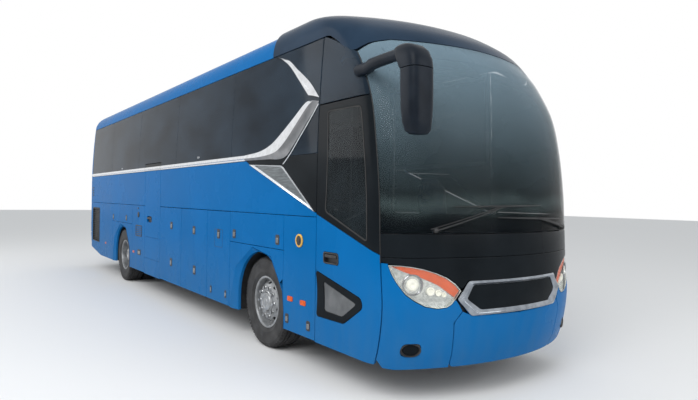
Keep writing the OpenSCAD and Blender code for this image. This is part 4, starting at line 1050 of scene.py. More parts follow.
def headLamps():
    for s, side in ((-1, "right"), (1, "left")):
        surface = corner(s)
        eye, r = lamp["eye"], lamp["eyeRadius"]
        parts = Parts()
        # silver bowl behind the lens, with a ring and a round projector
        skin(parts, below(surface, 0.030), lamp["outline"], thick=0.01, roll=0.002, cell=(0.03, 0.03),
            step=0.03)
        wall = dense(lamp["outline"], 0.03)
        bezel(parts, surface, wall, shrink(wall, 0.004), [(0, -0.034), (0, -0.001), (1, -0.001),
            (1, -0.034)])
        turn = outward(surface, *eye)
        place = Matrix.Translation(surface(*eye, 0.03)) @ turn
        revolve(parts, [(r * 1.18, 0.0), (r * 1.2, 0.016), (r * 1.12, 0.021), (r, 0.012),
            (r * 0.98, 0.0)], place, 2, 40)
        revolve(parts, [(0.0005, 0.008), (r * 0.3, 0.018), (r * 0.55, 0.016), (r * 0.72, 0.006),
            (r * 0.72, 0.0), (0.0005, 0.0)], place, 1, 32)
        for du, dz, size in ((-0.155, -0.055, 0.034), (-0.225, -0.068, 0.026), (-0.275, -0.085, 0.02)):
            spot = Matrix.Translation(surface(eye[0] + du, eye[1] + dz, 0.03)) @ turn
            revolve(parts, [(size, 0.0), (size * 1.05, 0.014), (size * 0.85, 0.018),
                (size * 0.45, 0.006), (0.0005, 0.003), (0.0005, 0.0)], spot, 1, 24)
        skin(parts, below(surface, 0.012), lamp["amber"], thick=0.016, roll=0.002, cell=(0.03, 0.03),
            mat=3, step=0.03, inset=0.001)
        obj = piece(f"{side}_headlight_bowl", "coach", parts, [lampSilver, lampGlow, darkChrome,
            amberLens], ["headlights"] if s < 0 else (), 30)
        fixNormals(obj)
        lens = Parts()
        skin(lens, surface, lamp["outline"], thick=0.004, roll=0.0018, cell=(0.04, 0.04), step=0.03,
            inset=0.002)
        piece(f"{side}_headlight_lens", "coach", lens, [clearLens])
        fog = Parts()
        place = Matrix.Translation(surface(*lamp["fog"], 0.02)) @ outward(surface, *lamp["fog"])
        place = place @ Matrix.Diagonal((1.62, 1, 1, 1))  # wider than it is high
        revolve(fog, [(0.056, -0.012), (0.056, 0.018), (0.051, 0.021), (0.045, 0.012), (0.043, -0.012)],
            place, 0, 36)
        revolve(fog, [(0.0005, 0.012), (0.02, 0.0145), (0.0425, 0.009), (0.0425, -0.01),
            (0.0005, -0.01)], place, 1, 36)
        fixNormals(piece(f"{side}_fog_lamp", "coach", fog, [blackPlastic, blackGloss]))


# points are lengths behind the nose and heights; a section is shares across and heights over the panel
trim = {
    "beltLow": 2.170,
    "beltHigh": 2.238,
    "beltSection": [(0, -0.004), (0, 0.003), (0.08, 0.006), (0.28, 0.006), (0.36, 0.013), (0.6, 0.016),
        (0.93, 0.011), (1, 0.004), (1, -0.004)],
    "beltFront": 3.06,
    "bladeTop": [(1.575, 2.704), (1.69, 2.703), (1.92, 2.576), (2.155, 2.447), (2.407, 2.326),
    (2.678, 2.263), (3.057, 2.238)],
    "bladeCrest": [(1.52, 2.698), (1.62, 2.655), (1.86, 2.475), (2.05, 2.335), (2.25, 2.235),
    (2.6, 2.198), (3.057, 2.195)],
    "bladeFoot": [(1.452, 2.684), (1.50, 2.635), (1.70, 2.462), (1.90, 2.292), (2.095, 2.166),
    (2.5, 2.160), (3.057, 2.170)],
    "line": [(1.452, 2.655), (1.60, 2.512), (1.79, 2.345), (1.95, 2.205), (2.085, 2.11), (2.12, 2.092)],
    "hookRear": [(2.403, 3.300), (2.24, 3.235), (2.074, 3.136), (1.867, 2.958), (1.665, 2.772)],
    "hookCrest": [(2.403, 3.302), (2.19, 3.235), (1.96, 3.092), (1.74, 2.90), (1.53, 2.745)],
    "hookFront": [(2.403, 3.304), (2.12, 3.215), (1.903, 3.072), (1.644, 2.898), (1.452, 2.722)],
    "insert": [(2.953, 2.122), (2.131, 2.082), (1.466, 1.600)],
    "insertFace": [(2.80, 2.100), (2.150, 2.060), (1.60, 1.672)],
    "insertCorners": [0.012, 0.05, 0.006],
}


def beltStrip(parts, surface, lengths, mat):
    low, high = ([(d, trim[k]) for d in lengths] for k in ("beltLow", "beltHigh"))
    ribbon(parts, surface, low, high, trim["beltSection"], mat)


def sideTrim(name, surface, right):
    parts = Parts()
    s, g = sides, coach
    # belt strip with a ridge
    start = trim["beltFront"]
    runs = [(start, s["midFront"]), (s["midRear"], g["sideRear"])] if right else [(start, g["sideRear"])]
    for a, b in runs:
        beltStrip(parts, surface, np.linspace(a + 0.003, b - 0.003, 12), 0)
    # lower blade, with a bright and a dark face
    upper, crest, lower = (curved(trim[k], 40) for k in ("bladeTop", "bladeCrest", "bladeFoot"))
    ribbon(parts, surface, upper, crest, [(0, -0.004), (0, 0.004), (0.06, 0.012), (0.5, 0.022),
        (1, 0.030), (1, -0.004)], 0)
    ribbon(parts, surface, crest, lower, [(0, -0.004), (0, 0.030), (0.9, 0.010), (1, 0.004),
        (1, -0.004)], 2)
    # thin bright line outside it
    line = curved(trim["line"], 30)
    ribbon(parts, surface, line, [(d + 0.007, z + 0.009) for d, z in line],
        [(0, -0.004), (0, 0.006), (0.3, 0.010), (0.8, 0.009), (1, 0.004), (1, -0.004)], 0)
    # upper blade, pointed at its top
    inner, bright, outer = (curved(trim[k], 32) for k in ("hookRear", "hookCrest", "hookFront"))
    ribbon(parts, surface, inner, bright, [(0, -0.004), (0, 0.004), (0.1, 0.012), (1, 0.026),
        (1, -0.004)], 0)
    ribbon(parts, surface, bright, outer, [(0, -0.004), (0, 0.026), (0.85, 0.010), (1, 0.004),
        (1, -0.004)], 0)
    # bright frame and grey face of the pointed insert
    a, _, c = trim["insert"]
    ring, inside = (rounded(trim[k], trim["insertCorners"], 6) for k in ("insert", "insertFace"))
    if area2(ring) < 0:
        ring, inside = ring[::-1], inside[::-1]
    bezel(parts, surface, ring, inside, [(0, -0.006), (0, 0.008), (0.1, 0.014), (0.8, 0.012), (1, 0.004),
        (1, -0.006)], 0)
    skin(parts, surface, inside, thick=0.02, roll=0.001, cell=(0.08, 0.06), lift=0.001, mat=1, inset=-0.002)
    fixNormals(piece(name, "coach", parts, [chrome, brushedGrey, darkChrome], (), 25))
    # black panel between the trims and the door
    black = Parts()
    loop = [(g["sideFront"], g["belt"] + 0.003), (3.05, g["belt"] + 0.003), a, *upperSide(ring, a, c),
        (g["sideFront"], 1.592)]
    skin(black, surface, loop, thick=0.03, roll=0.002, cell=(0.3, 0.2), inset=0.002)
    piece(name + "_backing", "coach", black, [blackGloss])


# the upper side of the insert, from its rear tip to its lower tip
def upperSide(ring, a, c):
    top = [p for p in ring if p[1] > a[1] + (c[1] - a[1]) * (a[0] - p[0]) / (a[0] - c[0]) + 0.012]
    return sorted(top, key=lambda p: -p[0]) + [c]


def sideLine(z0, z1, n=9, d=1.444):
    return [(float(sideU(d, z)), float(z)) for z in np.linspace(z0, z1, n)]


door = {"slopeFront": 1.267, "slopeRear": 1.58, "slopeU": 2.3375, "slopeTurn": (1.4127, 1.277), "low": 0.33,
    "bracketAt": 1.24, "midBracketAt": 6.69, "columnY": 1.17}


def latch(parts, surface, d, z, w=0.10, h=0.13, frameMat=0, paddleMat=1, lift=0.004):
    loop = rounded(rect(d - w / 2, d + w / 2, z - h / 2, z + h / 2), 0.02)
    skin(parts, surface, loop, thick=0.01, roll=0.0025, cell=(0.2, 0.2), step=0.1, lift=lift,
        mat=frameMat, inset=0)
    small = rounded(rect(d - w * 0.32, d + w * 0.32, z - h * 0.30, z + h * 0.22), 0.012)
    skin(parts, surface, small, thick=0.012, roll=0.003, cell=(0.2, 0.2), step=0.1, lift=lift + 0.004,
        mat=paddleMat, inset=0)


# between a leaf and its turning column
def brackets(parts, d, heights):
    x, y = coach["nose"] - d, door["columnY"]
    for z in heights:
        roundBox(parts, (x - 0.026, -1.236, z + 0.034), (x + 0.026, -y + 0.02, z + 0.07), 0.006, 4)


# the outlines under and over the sloping line that runs down to the lamps
def doorLoops(high, n):
    u, low, rear = front["doorU"], door["low"], door["slopeRear"]
    slope = [(door["slopeU"], rear), door["slopeTurn"], (u, door["slopeFront"])]
    lower = [(u, low), *sideLine(low, rear, 14)[:-1], *slope]
    return lower, [*slope[::-1], *sideLine(rear, high, n)[1:], (u, high)]


def makeFrontDoor():
    surface = corner(-1)
    parts = Parts()
    lower, upper = doorLoops(front["doorTop"], 12)
    pane = rounded([(2.36, 1.033), (1.644, 0.866), (1.618, 0.787), (1.88, 0.60), (2.338, 0.593)], 0.035)
    grip = rounded(rect(1.972, 2.226, 1.118, 1.226), 0.03)
    skin(parts, surface, lower, [pane, grip], thick=0.044, roll=0.004, cell=(0.05, 0.06), backMat=3)
    window = rounded([(2.05, 2.572), (1.517, 2.562), (1.53, 1.36), (2.19, 1.608)], 0.05)
    skin(parts, surface, upper, [window], thick=0.03, roll=0.003, cell=(0.05, 0.06), mat=1, inset=0.0018,
        backMat=3)
    sunk = below(surface, 0.003)
    skin(parts, sunk, window, thick=0.006, roll=0.001, cell=(0.06, 0.08), mat=2, inset=-0.003)
    # small pointed window with its wide black frame
    glass = rounded([(2.238, 0.941), (1.713, 0.806), (1.916, 0.66), (2.21, 0.668)], 0.03)
    skin(parts, surface, pane, [glass], thick=0.03, roll=0.004, cell=(0.05, 0.05), mat=1, lift=0.002,
        inset=0.001)
    skin(parts, sunk, glass, thick=0.006, roll=0.001, cell=(0.06, 0.08), mat=5, lift=-0.003, inset=-0.004)
    # handle in its cup
    skin(parts, below(surface, 0.030), grip, thick=0.01, roll=0.001, cell=(0.05, 0.05), mat=4, inset=-0.001)
    edge = dense(grip, 0.03)
    shrunk = [((u - 2.099) * 0.88 + 2.099, (z - 1.172) * 0.78 + 1.172) for u, z in edge]
    bezel(parts, surface, edge, shrunk, [(0, -0.03), (0, 0.002), (0.3, 0.004), (1, 0.002), (1, -0.03)], 4)
    bar = rounded(rect(2.0, 2.2, 1.176, 1.206), 0.012)
    skin(parts, surface, bar, thick=0.014, roll=0.005, cell=(0.05, 0.05), mat=4, lift=0.004, inset=0)
    brackets(parts, door["bracketAt"], (0.5, 2.4))
    piece("front_door_leaf", "front_door", parts, [bluePaint, blackGloss, doorGlass, cabinTrim,
        blackPlastic, paneGrey], ["front_door"])
    rim = Parts()
    edge = dense(window, 0.05)
    shrunk = shrink(edge, 0.012) if area2(window) > 0 else edge
    bezel(rim, surface, edge, shrunk, [(0, -0.008), (0, 0.0015), (1, 0.0005), (1, -0.008)])
    fixNormals(piece("front_door_glass_seal", "front_door", rim, [sealRubber]))


def makeMidDoor():
    s = sides
    parts = Parts()
    a, b = s["midFront"], s["midRear"]
    grip = rounded(rect(6.832, 7.106, 1.262, 1.365), 0.03)
    skin(parts, rightSide, rect(a, b, door["low"], coach["belt"] - 0.001), [grip], thick=0.044,
        roll=0.004, cell=(0.3, 0.2), step=0.2, backMat=3)
    skin(parts, rightSide, rect(a, b, coach["belt"] + 0.004, 2.29), thick=0.03, roll=0.003,
        cell=(0.3, 0.05), step=0.2, mat=1, inset=0.0018, backMat=3)
    beltStrip(parts, rightSide, np.linspace(a + 0.004, b - 0.004, 8), 2)
    skin(parts, below(rightSide, 0.030), grip, thick=0.01, roll=0.001, cell=(0.1, 0.1), mat=4, inset=-0.001)
    skin(parts, rightSide, rounded(rect(6.85, 7.09, 1.316, 1.348), 0.012), thick=0.014, roll=0.005,
        cell=(0.1, 0.1), mat=4, lift=0.004, inset=0)
    for z in (0.62, 1.0):
        skin(parts, rightSide, rect(a + 0.01, b - 0.01, z - 0.004, z + 0.004), thick=0.006, roll=0.0015,
            cell=(1, 1), step=0.4, mat=0, lift=0.0022, inset=0)
    brackets(parts, door["midBracketAt"], (0.6, 2.1))
    fixNormals(piece("mid_door_leaf", "mid_door", parts, [bluePaint, blackGloss, chrome, cabinTrim,
        blackPlastic], ["mid_door"]))


# lengths behind the nose of the doors' edges, and each latch as length, height and its two sizes
luggage = {
    "low": 0.345,
    "right": [4.247, 5.3005, 6.354],
    "left": [4.247, 5.5207, 6.7943, 8.068],
    "latchHigh": 1.242,
    "latchLow": 0.668,
    "frontLatches": [(4.755, 1.242, 0.10, 0.12), (4.722, 0.668, 0.10, 0.13)],
    "rearLatches": [(5.756, 1.262, 0.10, 0.12), (5.756, 0.679, 0.10, 0.13)],
    "serviceLatches": [(4.088, 0.482, 0.05, 0.10), (3.60, 0.483, 0.05, 0.10), (3.853, 1.242, 0.09, 0.12)],
}


def hatchLeaf(name, surface, a, b, latches):
    parts = Parts()
    high = coach["panelTop"] - 0.002
    skin(parts, surface, rounded(rect(a, b, luggage["low"], high), 0.022), thick=0.044, roll=0.004,
        cell=(0.3, 0.3), step=0.2, backMat=3)
    for d, z, w, h in latches:
        latch(parts, surface, d, z, w, h, 1, 2)
    piece(name + "_leaf", name, parts, [bluePaint, blackPlastic, darkChrome, cabinTrim],
        [name])


def makeHatches():
    g = luggage
    first, middle, last = g["right"]
    hatchLeaf("right_luggage_door_front", rightSide, first, middle, g["frontLatches"])
    hatchLeaf("right_luggage_door_rear", rightSide, middle, last, g["rearLatches"])
    hatchLeaf("right_service_door", rightSide, sides["hatchRear"], sides["serviceRear"],
        g["serviceLatches"])
    for place, a, b in zip(("front", "middle", "rear"), g["left"], g["left"][1:]):
        d = (a + b) / 2
        hatchLeaf("left_luggage_door_" + place, leftSide, a, b,
            [(d, g["latchLow"], 0.10, 0.13), (d, g["latchHigh"], 0.10, 0.12)])


def makeDriverSide():
    parts, surface = Parts(), corner(1)
    lower, upper = doorLoops(front["cabSill"], 2)
    skin(parts, surface, lower, thick=0.05, roll=0.004, cell=(0.06, 0.08), backMat=2)
    skin(parts, surface, upper, thick=0.03, roll=0.002, cell=(0.06, 0.08), mat=1, inset=0.0015)
    piece("driver_side_skin", "coach", parts, [bluePaint, blackGloss, cabinTrim],
        ["driver_side_panel"])


top = {"capRear": 2.497, "roofFront": 2.503, "roofRear": 10.797, "capColumns": 90, "capRows": 26,
    "capWall": 0.04,
    "escapeHatches": (4.3, 8.6)}


def levelAt(d, y, off=0):  # a flat sheet at the middle of the roof
    d, y = np.asarray(d), np.asarray(y)
    return np.stack([coach["nose"] - d, y + 0.0 * d, 0 * d + coach["roof"] - 0.003 - off], -1)


def makeRoof():
    parts = Parts()
    w = np.linspace(-1, 1, 49)
    d = np.linspace(top["roofFront"], top["roofRear"], 9)
    outer, inner = (np.array([[roofAt(x, -v, off) for v in w] for x in d]) for off in (0, 0.045))
    gridShell(parts, outer, inner, 0, 1)
    for x in top["escapeHatches"]:
        skin(parts, levelAt, rounded(rect(x - 0.36, x + 0.36, -0.40, 0.40), 0.06), thick=0.03,
            roll=0.008, cell=(0.2, 0.2), mat=2, lift=0.024, inset=0)
    fixNormals(piece("roof_skin", "coach", parts, [bluePaint, cabinTrim, paleLabel],
        ["roof"], 30))
    cap = Parts()
    n, m = top["capColumns"], top["capRows"]
    peak = coach["roof"] + coach["capRise"] - 0.003
    width = float(sideU(2.5, 3.2))

    def capGrid(off):
        rows = []
        for j in range(m + 1):
            f = 1 - (1 - j / m) ** 2
            s = 2 * np.arange(n + 1) / n - 1
            low = capEdge(s * width) + 0.003
            z = low + (peak - low) * f
            p = frontAt(s * sideU(top["capRear"], z), z, off)
            p[:, 2] -= off * (j / m) ** 2
            rows.append(p)
        return np.array(rows)
    gridShell(cap, capGrid(0), capGrid(top["capWall"]), 0, 1, lid=True)
    fixNormals(piece("front_cap_skin", "coach", cap, [capBlack, blackPlastic],
        ["front_cap"], 35))


rear = {"seam": 0.284, "doorHalf": 0.8, "doorLow": 0.83, "doorHigh": 1.78, "windowHalf": 0.96,
    "windowLow": 2.23,
    "windowHigh": 3.06, "lampIn": 0.9, "lampOut": 1.17, "lampLow": 0.9, "lampHigh": 1.64, "eaves": 3.313,
    "bumperLow": 0.48,
    # foot, top and material of each lamp cell
    "cells": [(0.925, 1.10, 1), (1.115, 1.27, 2), (1.285, 1.42, 3), (1.435, 1.615, 1)],
    "louvres": 14}


# the outline between two heights, from one rear seam to the other
def tailBand(low, high, n):
    edge = [(float(tailU(rear["seam"], z)), float(z)) for z in np.linspace(low, high, n)]
    return edge + [(-u, z) for u, z in edge[::-1]]


def makeTail():
    r = rear
    parts = Parts()
    window = rounded(rect(-r["windowHalf"], r["windowHalf"], r["windowLow"], r["windowHigh"]), 0.09)
    hole = rect(-r["doorHalf"], r["doorHalf"], r["doorLow"] + 0.001, r["doorHigh"])
    lamps = [rounded(rect(s * r["lampIn"], s * r["lampOut"], r["lampLow"], r["lampHigh"]), 0.03)
        for s in (-1, 1)]
    skin(parts, tailAt, tailBand(r["doorLow"] - 0.001, r["eaves"] - 0.001, 16), [window, hole, *lamps],
        thick=0.04, roll=0.004, cell=(0.055, 0.07), backMat=1)
    n, m = 80, 18
    peak = coach["roof"] - 0.002

    def dome(off):
        rows = []
        for j in range(m + 1):
            z = r["eaves"] + 0.001 + (peak - r["eaves"]) * (1 - (1 - j / m) ** 2)
            s = 2 * np.arange(n + 1) / n - 1
            u = np.sign(s) * (1 - (1 - np.abs(s)) ** 1.15) * tailU(1.197, z)
            p = tailAt(u, z, off)
            p[:, 2] -= off * (j / m) ** 2
            rows.append(p)
        return np.array(rows)
    gridShell(parts, dome(0), dome(0.04), 0, 1, lid=True)
    fixNormals(piece("tail_skin", "coach", parts, [bluePaint, cabinTrim],
        ["rear_wall", "tail_dome"], 32))
    parts = Parts()
    skin(parts, tailAt, window, thick=0.01, roll=0.002, cell=(0.08, 0.1), lift=-0.002, inset=0.004)
    piece("rear_window_glass", "coach", parts, [sideGlass], ["rear_window"])
    parts = Parts()
    plate = rounded(rect(-0.27, 0.27, 0.56, 0.70), 0.015)
    skin(parts, tailAt, tailBand(r["bumperLow"], r["doorLow"] - 0.004, 8), [plate], thick=0.04,
        roll=0.006, cell=(0.06, 0.07))
    sunk = below(tailAt, 0.012)
    skin(parts, sunk, rounded(rect(-0.275, 0.275, 0.555, 0.705), 0.015), thick=0.015, roll=0.002,
        cell=(0.2, 0.1), mat=1)
    skin(parts, tailAt, rounded(rect(-0.262, 0.262, 0.573, 0.687), 0.012), thick=0.012, roll=0.003,
        cell=(0.1, 0.1), mat=2, lift=-0.003)
    for s in (-1, 1):
        skin(parts, tailAt, rounded(rect(s * 0.82, s * 1.02, 0.60, 0.66), 0.02), thick=0.01, roll=0.003,
            cell=(0.1, 0.1), mat=3, lift=0.005)
    piece("rear_bumper_skin", "coach", parts, [bluePaint, blackPlastic, paleLabel, redLens],
        ["rear_bumper"])
    for s, side in ((-1, "left"), (1, "right")):
        parts = Parts()
        outline = rounded(rect(s * r["lampIn"], s * r["lampOut"], r["lampLow"], r["lampHigh"]), 0.03)
        skin(parts, sunk, outline, thick=0.03, roll=0.002, cell=(0.1, 0.1), mat=0)
        for low, high, mat in r["cells"]:
            cell = rounded(rect(s * (r["lampIn"] + 0.022), s * (r["lampOut"] - 0.022), low, high), 0.035)
            skin(parts, tailAt, cell, thick=0.025, roll=0.008, cell=(0.05, 0.05), mat=mat, lift=0.002,
                inset=0)
        piece(f"{side}_tail_light", "coach", parts, [blackPlastic, redLens, amberLens, lampSilver],
            ["tail_lights"] if s < 0 else ())
    parts = Parts()
    vent = rounded(rect(-0.62, 0.62, 0.95, 1.50), 0.04)
    skin(parts, tailAt, rect(-r["doorHalf"], r["doorHalf"], r["doorLow"] + 0.002, r["doorHigh"]), [vent],
        thick=0.04, roll=0.005, cell=(0.08, 0.08), backMat=1, inset=0.006)
    latch(parts, tailAt, 0.0, 1.62, 0.16, 0.10, 1, 2)
    piece("engine_door_leaf", "engine_door", parts, [bluePaint, blackPlastic, darkChrome],
        ["engine_door"])


def supersection(cx, cy, hx, hy, n=40, power=3.2):
    out = []
    for k in range(n):
        a = 2 * math.pi * k / n
        c, s = math.cos(a), math.sin(a)
        out.append((cx + hx * math.copysign(abs(c) ** (2 / power), c),
            cy + hy * math.copysign(abs(s) ** (2 / power), s)))
    return out


def loft(parts, rows, mat=0):
    n = len(rows[0])
    faces = [(j * n + i, j * n + (i + 1) % n, (j + 1) * n + (i + 1) % n, (j + 1) * n + i)
        for j in range(len(rows) - 1) for i in range(n)]
    faces += [tuple(range(n))[::-1], tuple((len(rows) - 1) * n + i for i in range(n))]
    parts.add([p for row in rows for p in row], faces, mat)


mirror = {"y": 1.435, "glass": (2.30, 2.66), "glassHalf": 0.062, "leftBack": 1.15, "leftDrop": 0.07,
    "leftFoot": (0.99, 2.80),
    # height, front edge, rear edge (ahead of the nose), half width
    "rows": [(2.207, 0.21, 0.15, 0.03), (2.212, 0.228, 0.118, 0.062), (2.235, 0.24, 0.088, 0.088),
        (2.30, 0.243, 0.066, 0.102), (2.42, 0.245, 0.052, 0.110), (2.58, 0.244, 0.046, 0.112),
        (2.688, 0.240, 0.044, 0.112)],
    "head": [(2.694, 0.240, 0.040, 0.112), (2.70, 0.241, 0.030, 0.1125), (2.76, 0.232, -0.005, 0.111),
        (2.82, 0.205, -0.04, 0.104), (2.862, 0.155, -0.05, 0.086), (2.885, 0.09, -0.03, 0.055),
        (2.893, 0.05, 0.0, 0.02)]}


def mirrorHead(parts, sign, shift, lift=0.0):
    g = mirror
    for rows in (g["rows"], g["head"]):
        loft(parts, [[(coach["nose"] + shift + x, sign * g["y"] + y, z + lift) for x, y in
            supersection((front + back) / 2, 0, (front - back) / 2, half)] for z, front, back,
            half in rows])
    # glass on the rear face
    heights, _, backs, _ = zip(*g["rows"])
    rows = []
    for z in np.linspace(*g["glass"], 7):
        x = coach["nose"] + shift + float(np.interp(z, heights, backs))
        corners = ((-0.003, -1), (-0.003, 1), (0.012, 1), (0.012, -1))
        rows.append([(x + a, sign * g["y"] + b * g["glassHalf"], z + lift) for a, b in corners])
    loft(parts, rows, 1)


def makeMirrors():
    nose = coach["nose"]
    parts = Parts()
    mirrorHead(parts, -1, 0)
    y = -mirror["y"]
    root = tuple(frontAt(-1.44, 2.872, 0.0))
    arm = [(0.10, y + 0.01, 2.838), (0.0, y + 0.04, 2.850), (-0.2, y + 0.07, 2.862),
        (-0.42, y + 0.10, 2.868), (-0.56, -1.31, 2.870), (-0.66, -1.26, 2.870)]
    tube(parts, [*[(nose + x, y, z) for x, y, z in arm], root],
        [0.034, 0.044, 0.047, 0.048, 0.05, 0.052, 0.056], 0, 20)
    fixNormals(piece("right_mirror_housing", "coach", parts, [mirrorPlastic, mirrorGlass],
        ["right_mirror"], 50))
    parts = Parts()
    mirrorHead(parts, 1, -mirror["leftBack"], -mirror["leftDrop"])
    d, z = mirror["leftFoot"]
    tube(parts, [(nose - 0.97, mirror["y"], 2.765), (nose - d, 1.36, 2.79), (nose - d, 1.30, z),
        tuple(frontAt(float(sideU(d, z)), z, 0.0))], [0.03, 0.032, 0.034, 0.038], 0, 16)
    fixNormals(piece("left_mirror_housing", "coach", parts, [mirrorPlastic, mirrorGlass],
        ["left_mirror"], 50))


wiper = {"places": [[(-0.90, 1.48), (-0.20, 1.69), (-0.73, 1.68), (0.33, 1.70)],
    [(0.90, 1.48), (0.27, 1.58), (0.82, 1.57), (-0.28, 1.59)]]}


def between(p, q, t, off):  # a share of the way from p to q, over the windshield
    return tuple(frontAt(p[0] + (q[0] - p[0]) * t, p[1] + (q[1] - p[1]) * t, off))


def makeWipers():
    parts = Parts()
    for pivot, joint, a, b in wiper["places"]:
        tube(parts, [between(pivot, joint, t, -0.026 - 0.01 * math.sin(math.pi * t))
            for t in np.linspace(0, 1, 9)], [0.012, 0.011, 0.0095, 0.009, 0.008, 0.008, 0.007, 0.007,
            0.006], 0, 10, 0.7)
        second = (pivot[0] + 0.05 * np.sign(pivot[0]), pivot[1] + 0.01)
        end = (joint[0], joint[1] + 0.012)
        tube(parts, [between(second, end, t, -0.026) for t in np.linspace(0, 0.96, 9)], 0.005, 0, 8)
        blade = [between(a, b, t, -0.016) for t in np.linspace(0, 1, 21)]
        tube(parts, blade, [0.004 + 0.006 * math.sin(math.pi * t) for t in np.linspace(0.02, 0.98, 21)],
            0, 8, 0.8)
        tube(parts, [between(a, b, t, -0.006) for t in np.linspace(0, 1, 21)], 0.004, 1, 6, 1.3)
        turn = Vector(frontAt(*pivot, -0.02) - frontAt(*pivot, 0)).to_track_quat("Z",
            "Y").to_matrix().to_4x4()
        revolve(parts, [(0.0005, 0.038), (0.014, 0.036), (0.021, 0.028), (0.024, 0.0), (0.0005, 0.0)],
            Matrix.Translation(frontAt(*pivot, 0.0)) @ turn, 0, 20)
    fixNormals(piece("wiper_set", "coach", parts, [blackPlastic, sealRubber],
        ["wipers"], 50))


# the evaluated result as a plain mesh, with the modifier gone
def toPiece(obj, name):
    depth = bpy.context.evaluated_depsgraph_get()
    mesh = bpy.data.meshes.new_from_object(obj.evaluated_get(depth))
    old = obj.data
    bpy.data.objects.remove(obj)
    bpy.data.meshes.remove(old)
    made = bpy.data.objects.new(name, mesh)
    bpy.context.scene.collection.objects.link(made)
    return made


# a geometry tree with named inputs and one output, and no nodes yet
def emptyTree(name, inputs):
    tree = bpy.data.node_groups.new(name, "GeometryNodeTree")
    face = tree.interface
    face.new_socket("Geometry", in_out="INPUT", socket_type="NodeSocketGeometry")
    for label, kind, value in inputs:
        socket = face.new_socket(label, in_out="INPUT", socket_type=kind)
        if value is not None:
            socket.default_value = value
    face.new_socket("Geometry", in_out="OUTPUT", socket_type="NodeSocketGeometry")
    return tree


# hexagonal nuts with a conical washer, round an axis
def nutTree():
    tree = emptyTree("wheelNuts", [("Count", "NodeSocketInt", 10),
        ("Circle Radius", "NodeSocketFloat", 0.1675), ("Nut Radius", "NodeSocketFloat", 0.019),
        ("Nut Height", "NodeSocketFloat", 0.024), ("Seed", "NodeSocketInt", 3),
        ("Finish", "NodeSocketMaterial", None)])
    group, out = addNode(tree, "NodeGroupInput"), addNode(tree, "NodeGroupOutput")
    circle = addNode(tree, "GeometryNodeMeshCircle")
    nut = addNode(tree, "GeometryNodeMeshCylinder", Vertices=6)
    washer = addNode(tree, "GeometryNodeMeshCone",
        **{"Vertices": 16, "Depth": 0.009, "Radius Bottom": 0.025, "Radius Top": 0.019})
    lift = addNode(tree, "GeometryNodeTransform")
    half = addNode(tree, "ShaderNodeMath", operation="MULTIPLY")
    half.inputs[1].default_value = 0.5
    up = addNode(tree, "ShaderNodeCombineXYZ")
    both = addNode(tree, "GeometryNodeJoinGeometry")
    spin = addNode(tree, "FunctionNodeRandomValue", data_type="FLOAT")
    spin.inputs[3].default_value = 1.05  # the most that a nut is turned by
    turn = addNode(tree, "ShaderNodeCombineXYZ")
    place = addNode(tree, "GeometryNodeInstanceOnPoints")
    real = addNode(tree, "GeometryNodeRealizeInstances")
    paint = addNode(tree, "GeometryNodeSetMaterial")
    wireAll(tree,
        (group, "Count", circle, "Vertices"), (group, "Circle Radius", circle, "Radius"),
        (group, "Nut Radius", nut, "Radius"), (group, "Nut Height", nut, "Depth"),
        (group, "Nut Height", half, 0), (half, 0, up, "Z"), (nut, "Mesh", lift, "Geometry"),
        (up, 0, lift, "Translation"), (lift, 0, both, 0), (washer, "Mesh", both, 0),
        (group, "Seed", spin, "Seed"), (spin, 1, turn, "Z"), (circle, 0, place, "Points"),
        (both, 0, place, "Instance"), (turn, 0, place, "Rotation"), (place, 0, real, 0),
        (real, 0, paint, "Geometry"), (group, "Finish", paint, "Material"), (paint, 0, out, 0))
    return tree


# blocks of one size in a row, each turned about its own length
def barTree():
    tree = emptyTree("slatRow", [("Count", "NodeSocketInt", 18), ("Start", "NodeSocketVector", (0, 0, 0)),
        ("Step", "NodeSocketVector", (0, 0, 0.04)), ("Size", "NodeSocketVector", (0.5, 0.03, 0.004)),
        ("Turn", "NodeSocketVector", (0, 0, 0)), ("Seed", "NodeSocketInt", 5),
        ("Finish", "NodeSocketMaterial", None)])
    group, out = addNode(tree, "NodeGroupInput"), addNode(tree, "NodeGroupOutput")
    line = addNode(tree, "GeometryNodeMeshLine")
    cube = addNode(tree, "GeometryNodeMeshCube")
    place = addNode(tree, "GeometryNodeInstanceOnPoints")
    real = addNode(tree, "GeometryNodeRealizeInstances")
    paint = addNode(tree, "GeometryNodeSetMaterial")
    wireAll(tree,
        (group, "Count", line, "Count"), (group, "Start", line, "Start Location"),
        (group, "Step", line, "Offset"), (group, "Size", cube, "Size"), (line, 0, place, "Points"),
        (cube, "Mesh", place, "Instance"), (group, "Turn", place, "Rotation"), (place, 0, real, 0),
        (real, 0, paint, "Geometry"), (group, "Finish", paint, "Material"), (paint, 0, out, 0))
    return tree


# one object made by a tree, with its inputs set by identifier, then turned into a plain mesh
def grown(tree, name, values, matrix=None):
    obj = bpy.data.objects.new(name + "Seed", bpy.data.meshes.new(name + "Seed"))
    bpy.context.scene.collection.objects.link(obj)
    modifier = obj.modifiers.new("repeat", "NODES")
    modifier.node_group = tree
    for item in tree.interface.items_tree:
        if item.in_out == "INPUT" and item.name in values:
            modifier[item.identifier] = values[item.name]
    made = toPiece(obj, name)
    if matrix is not None:
        made.data.transform(matrix)
    return made


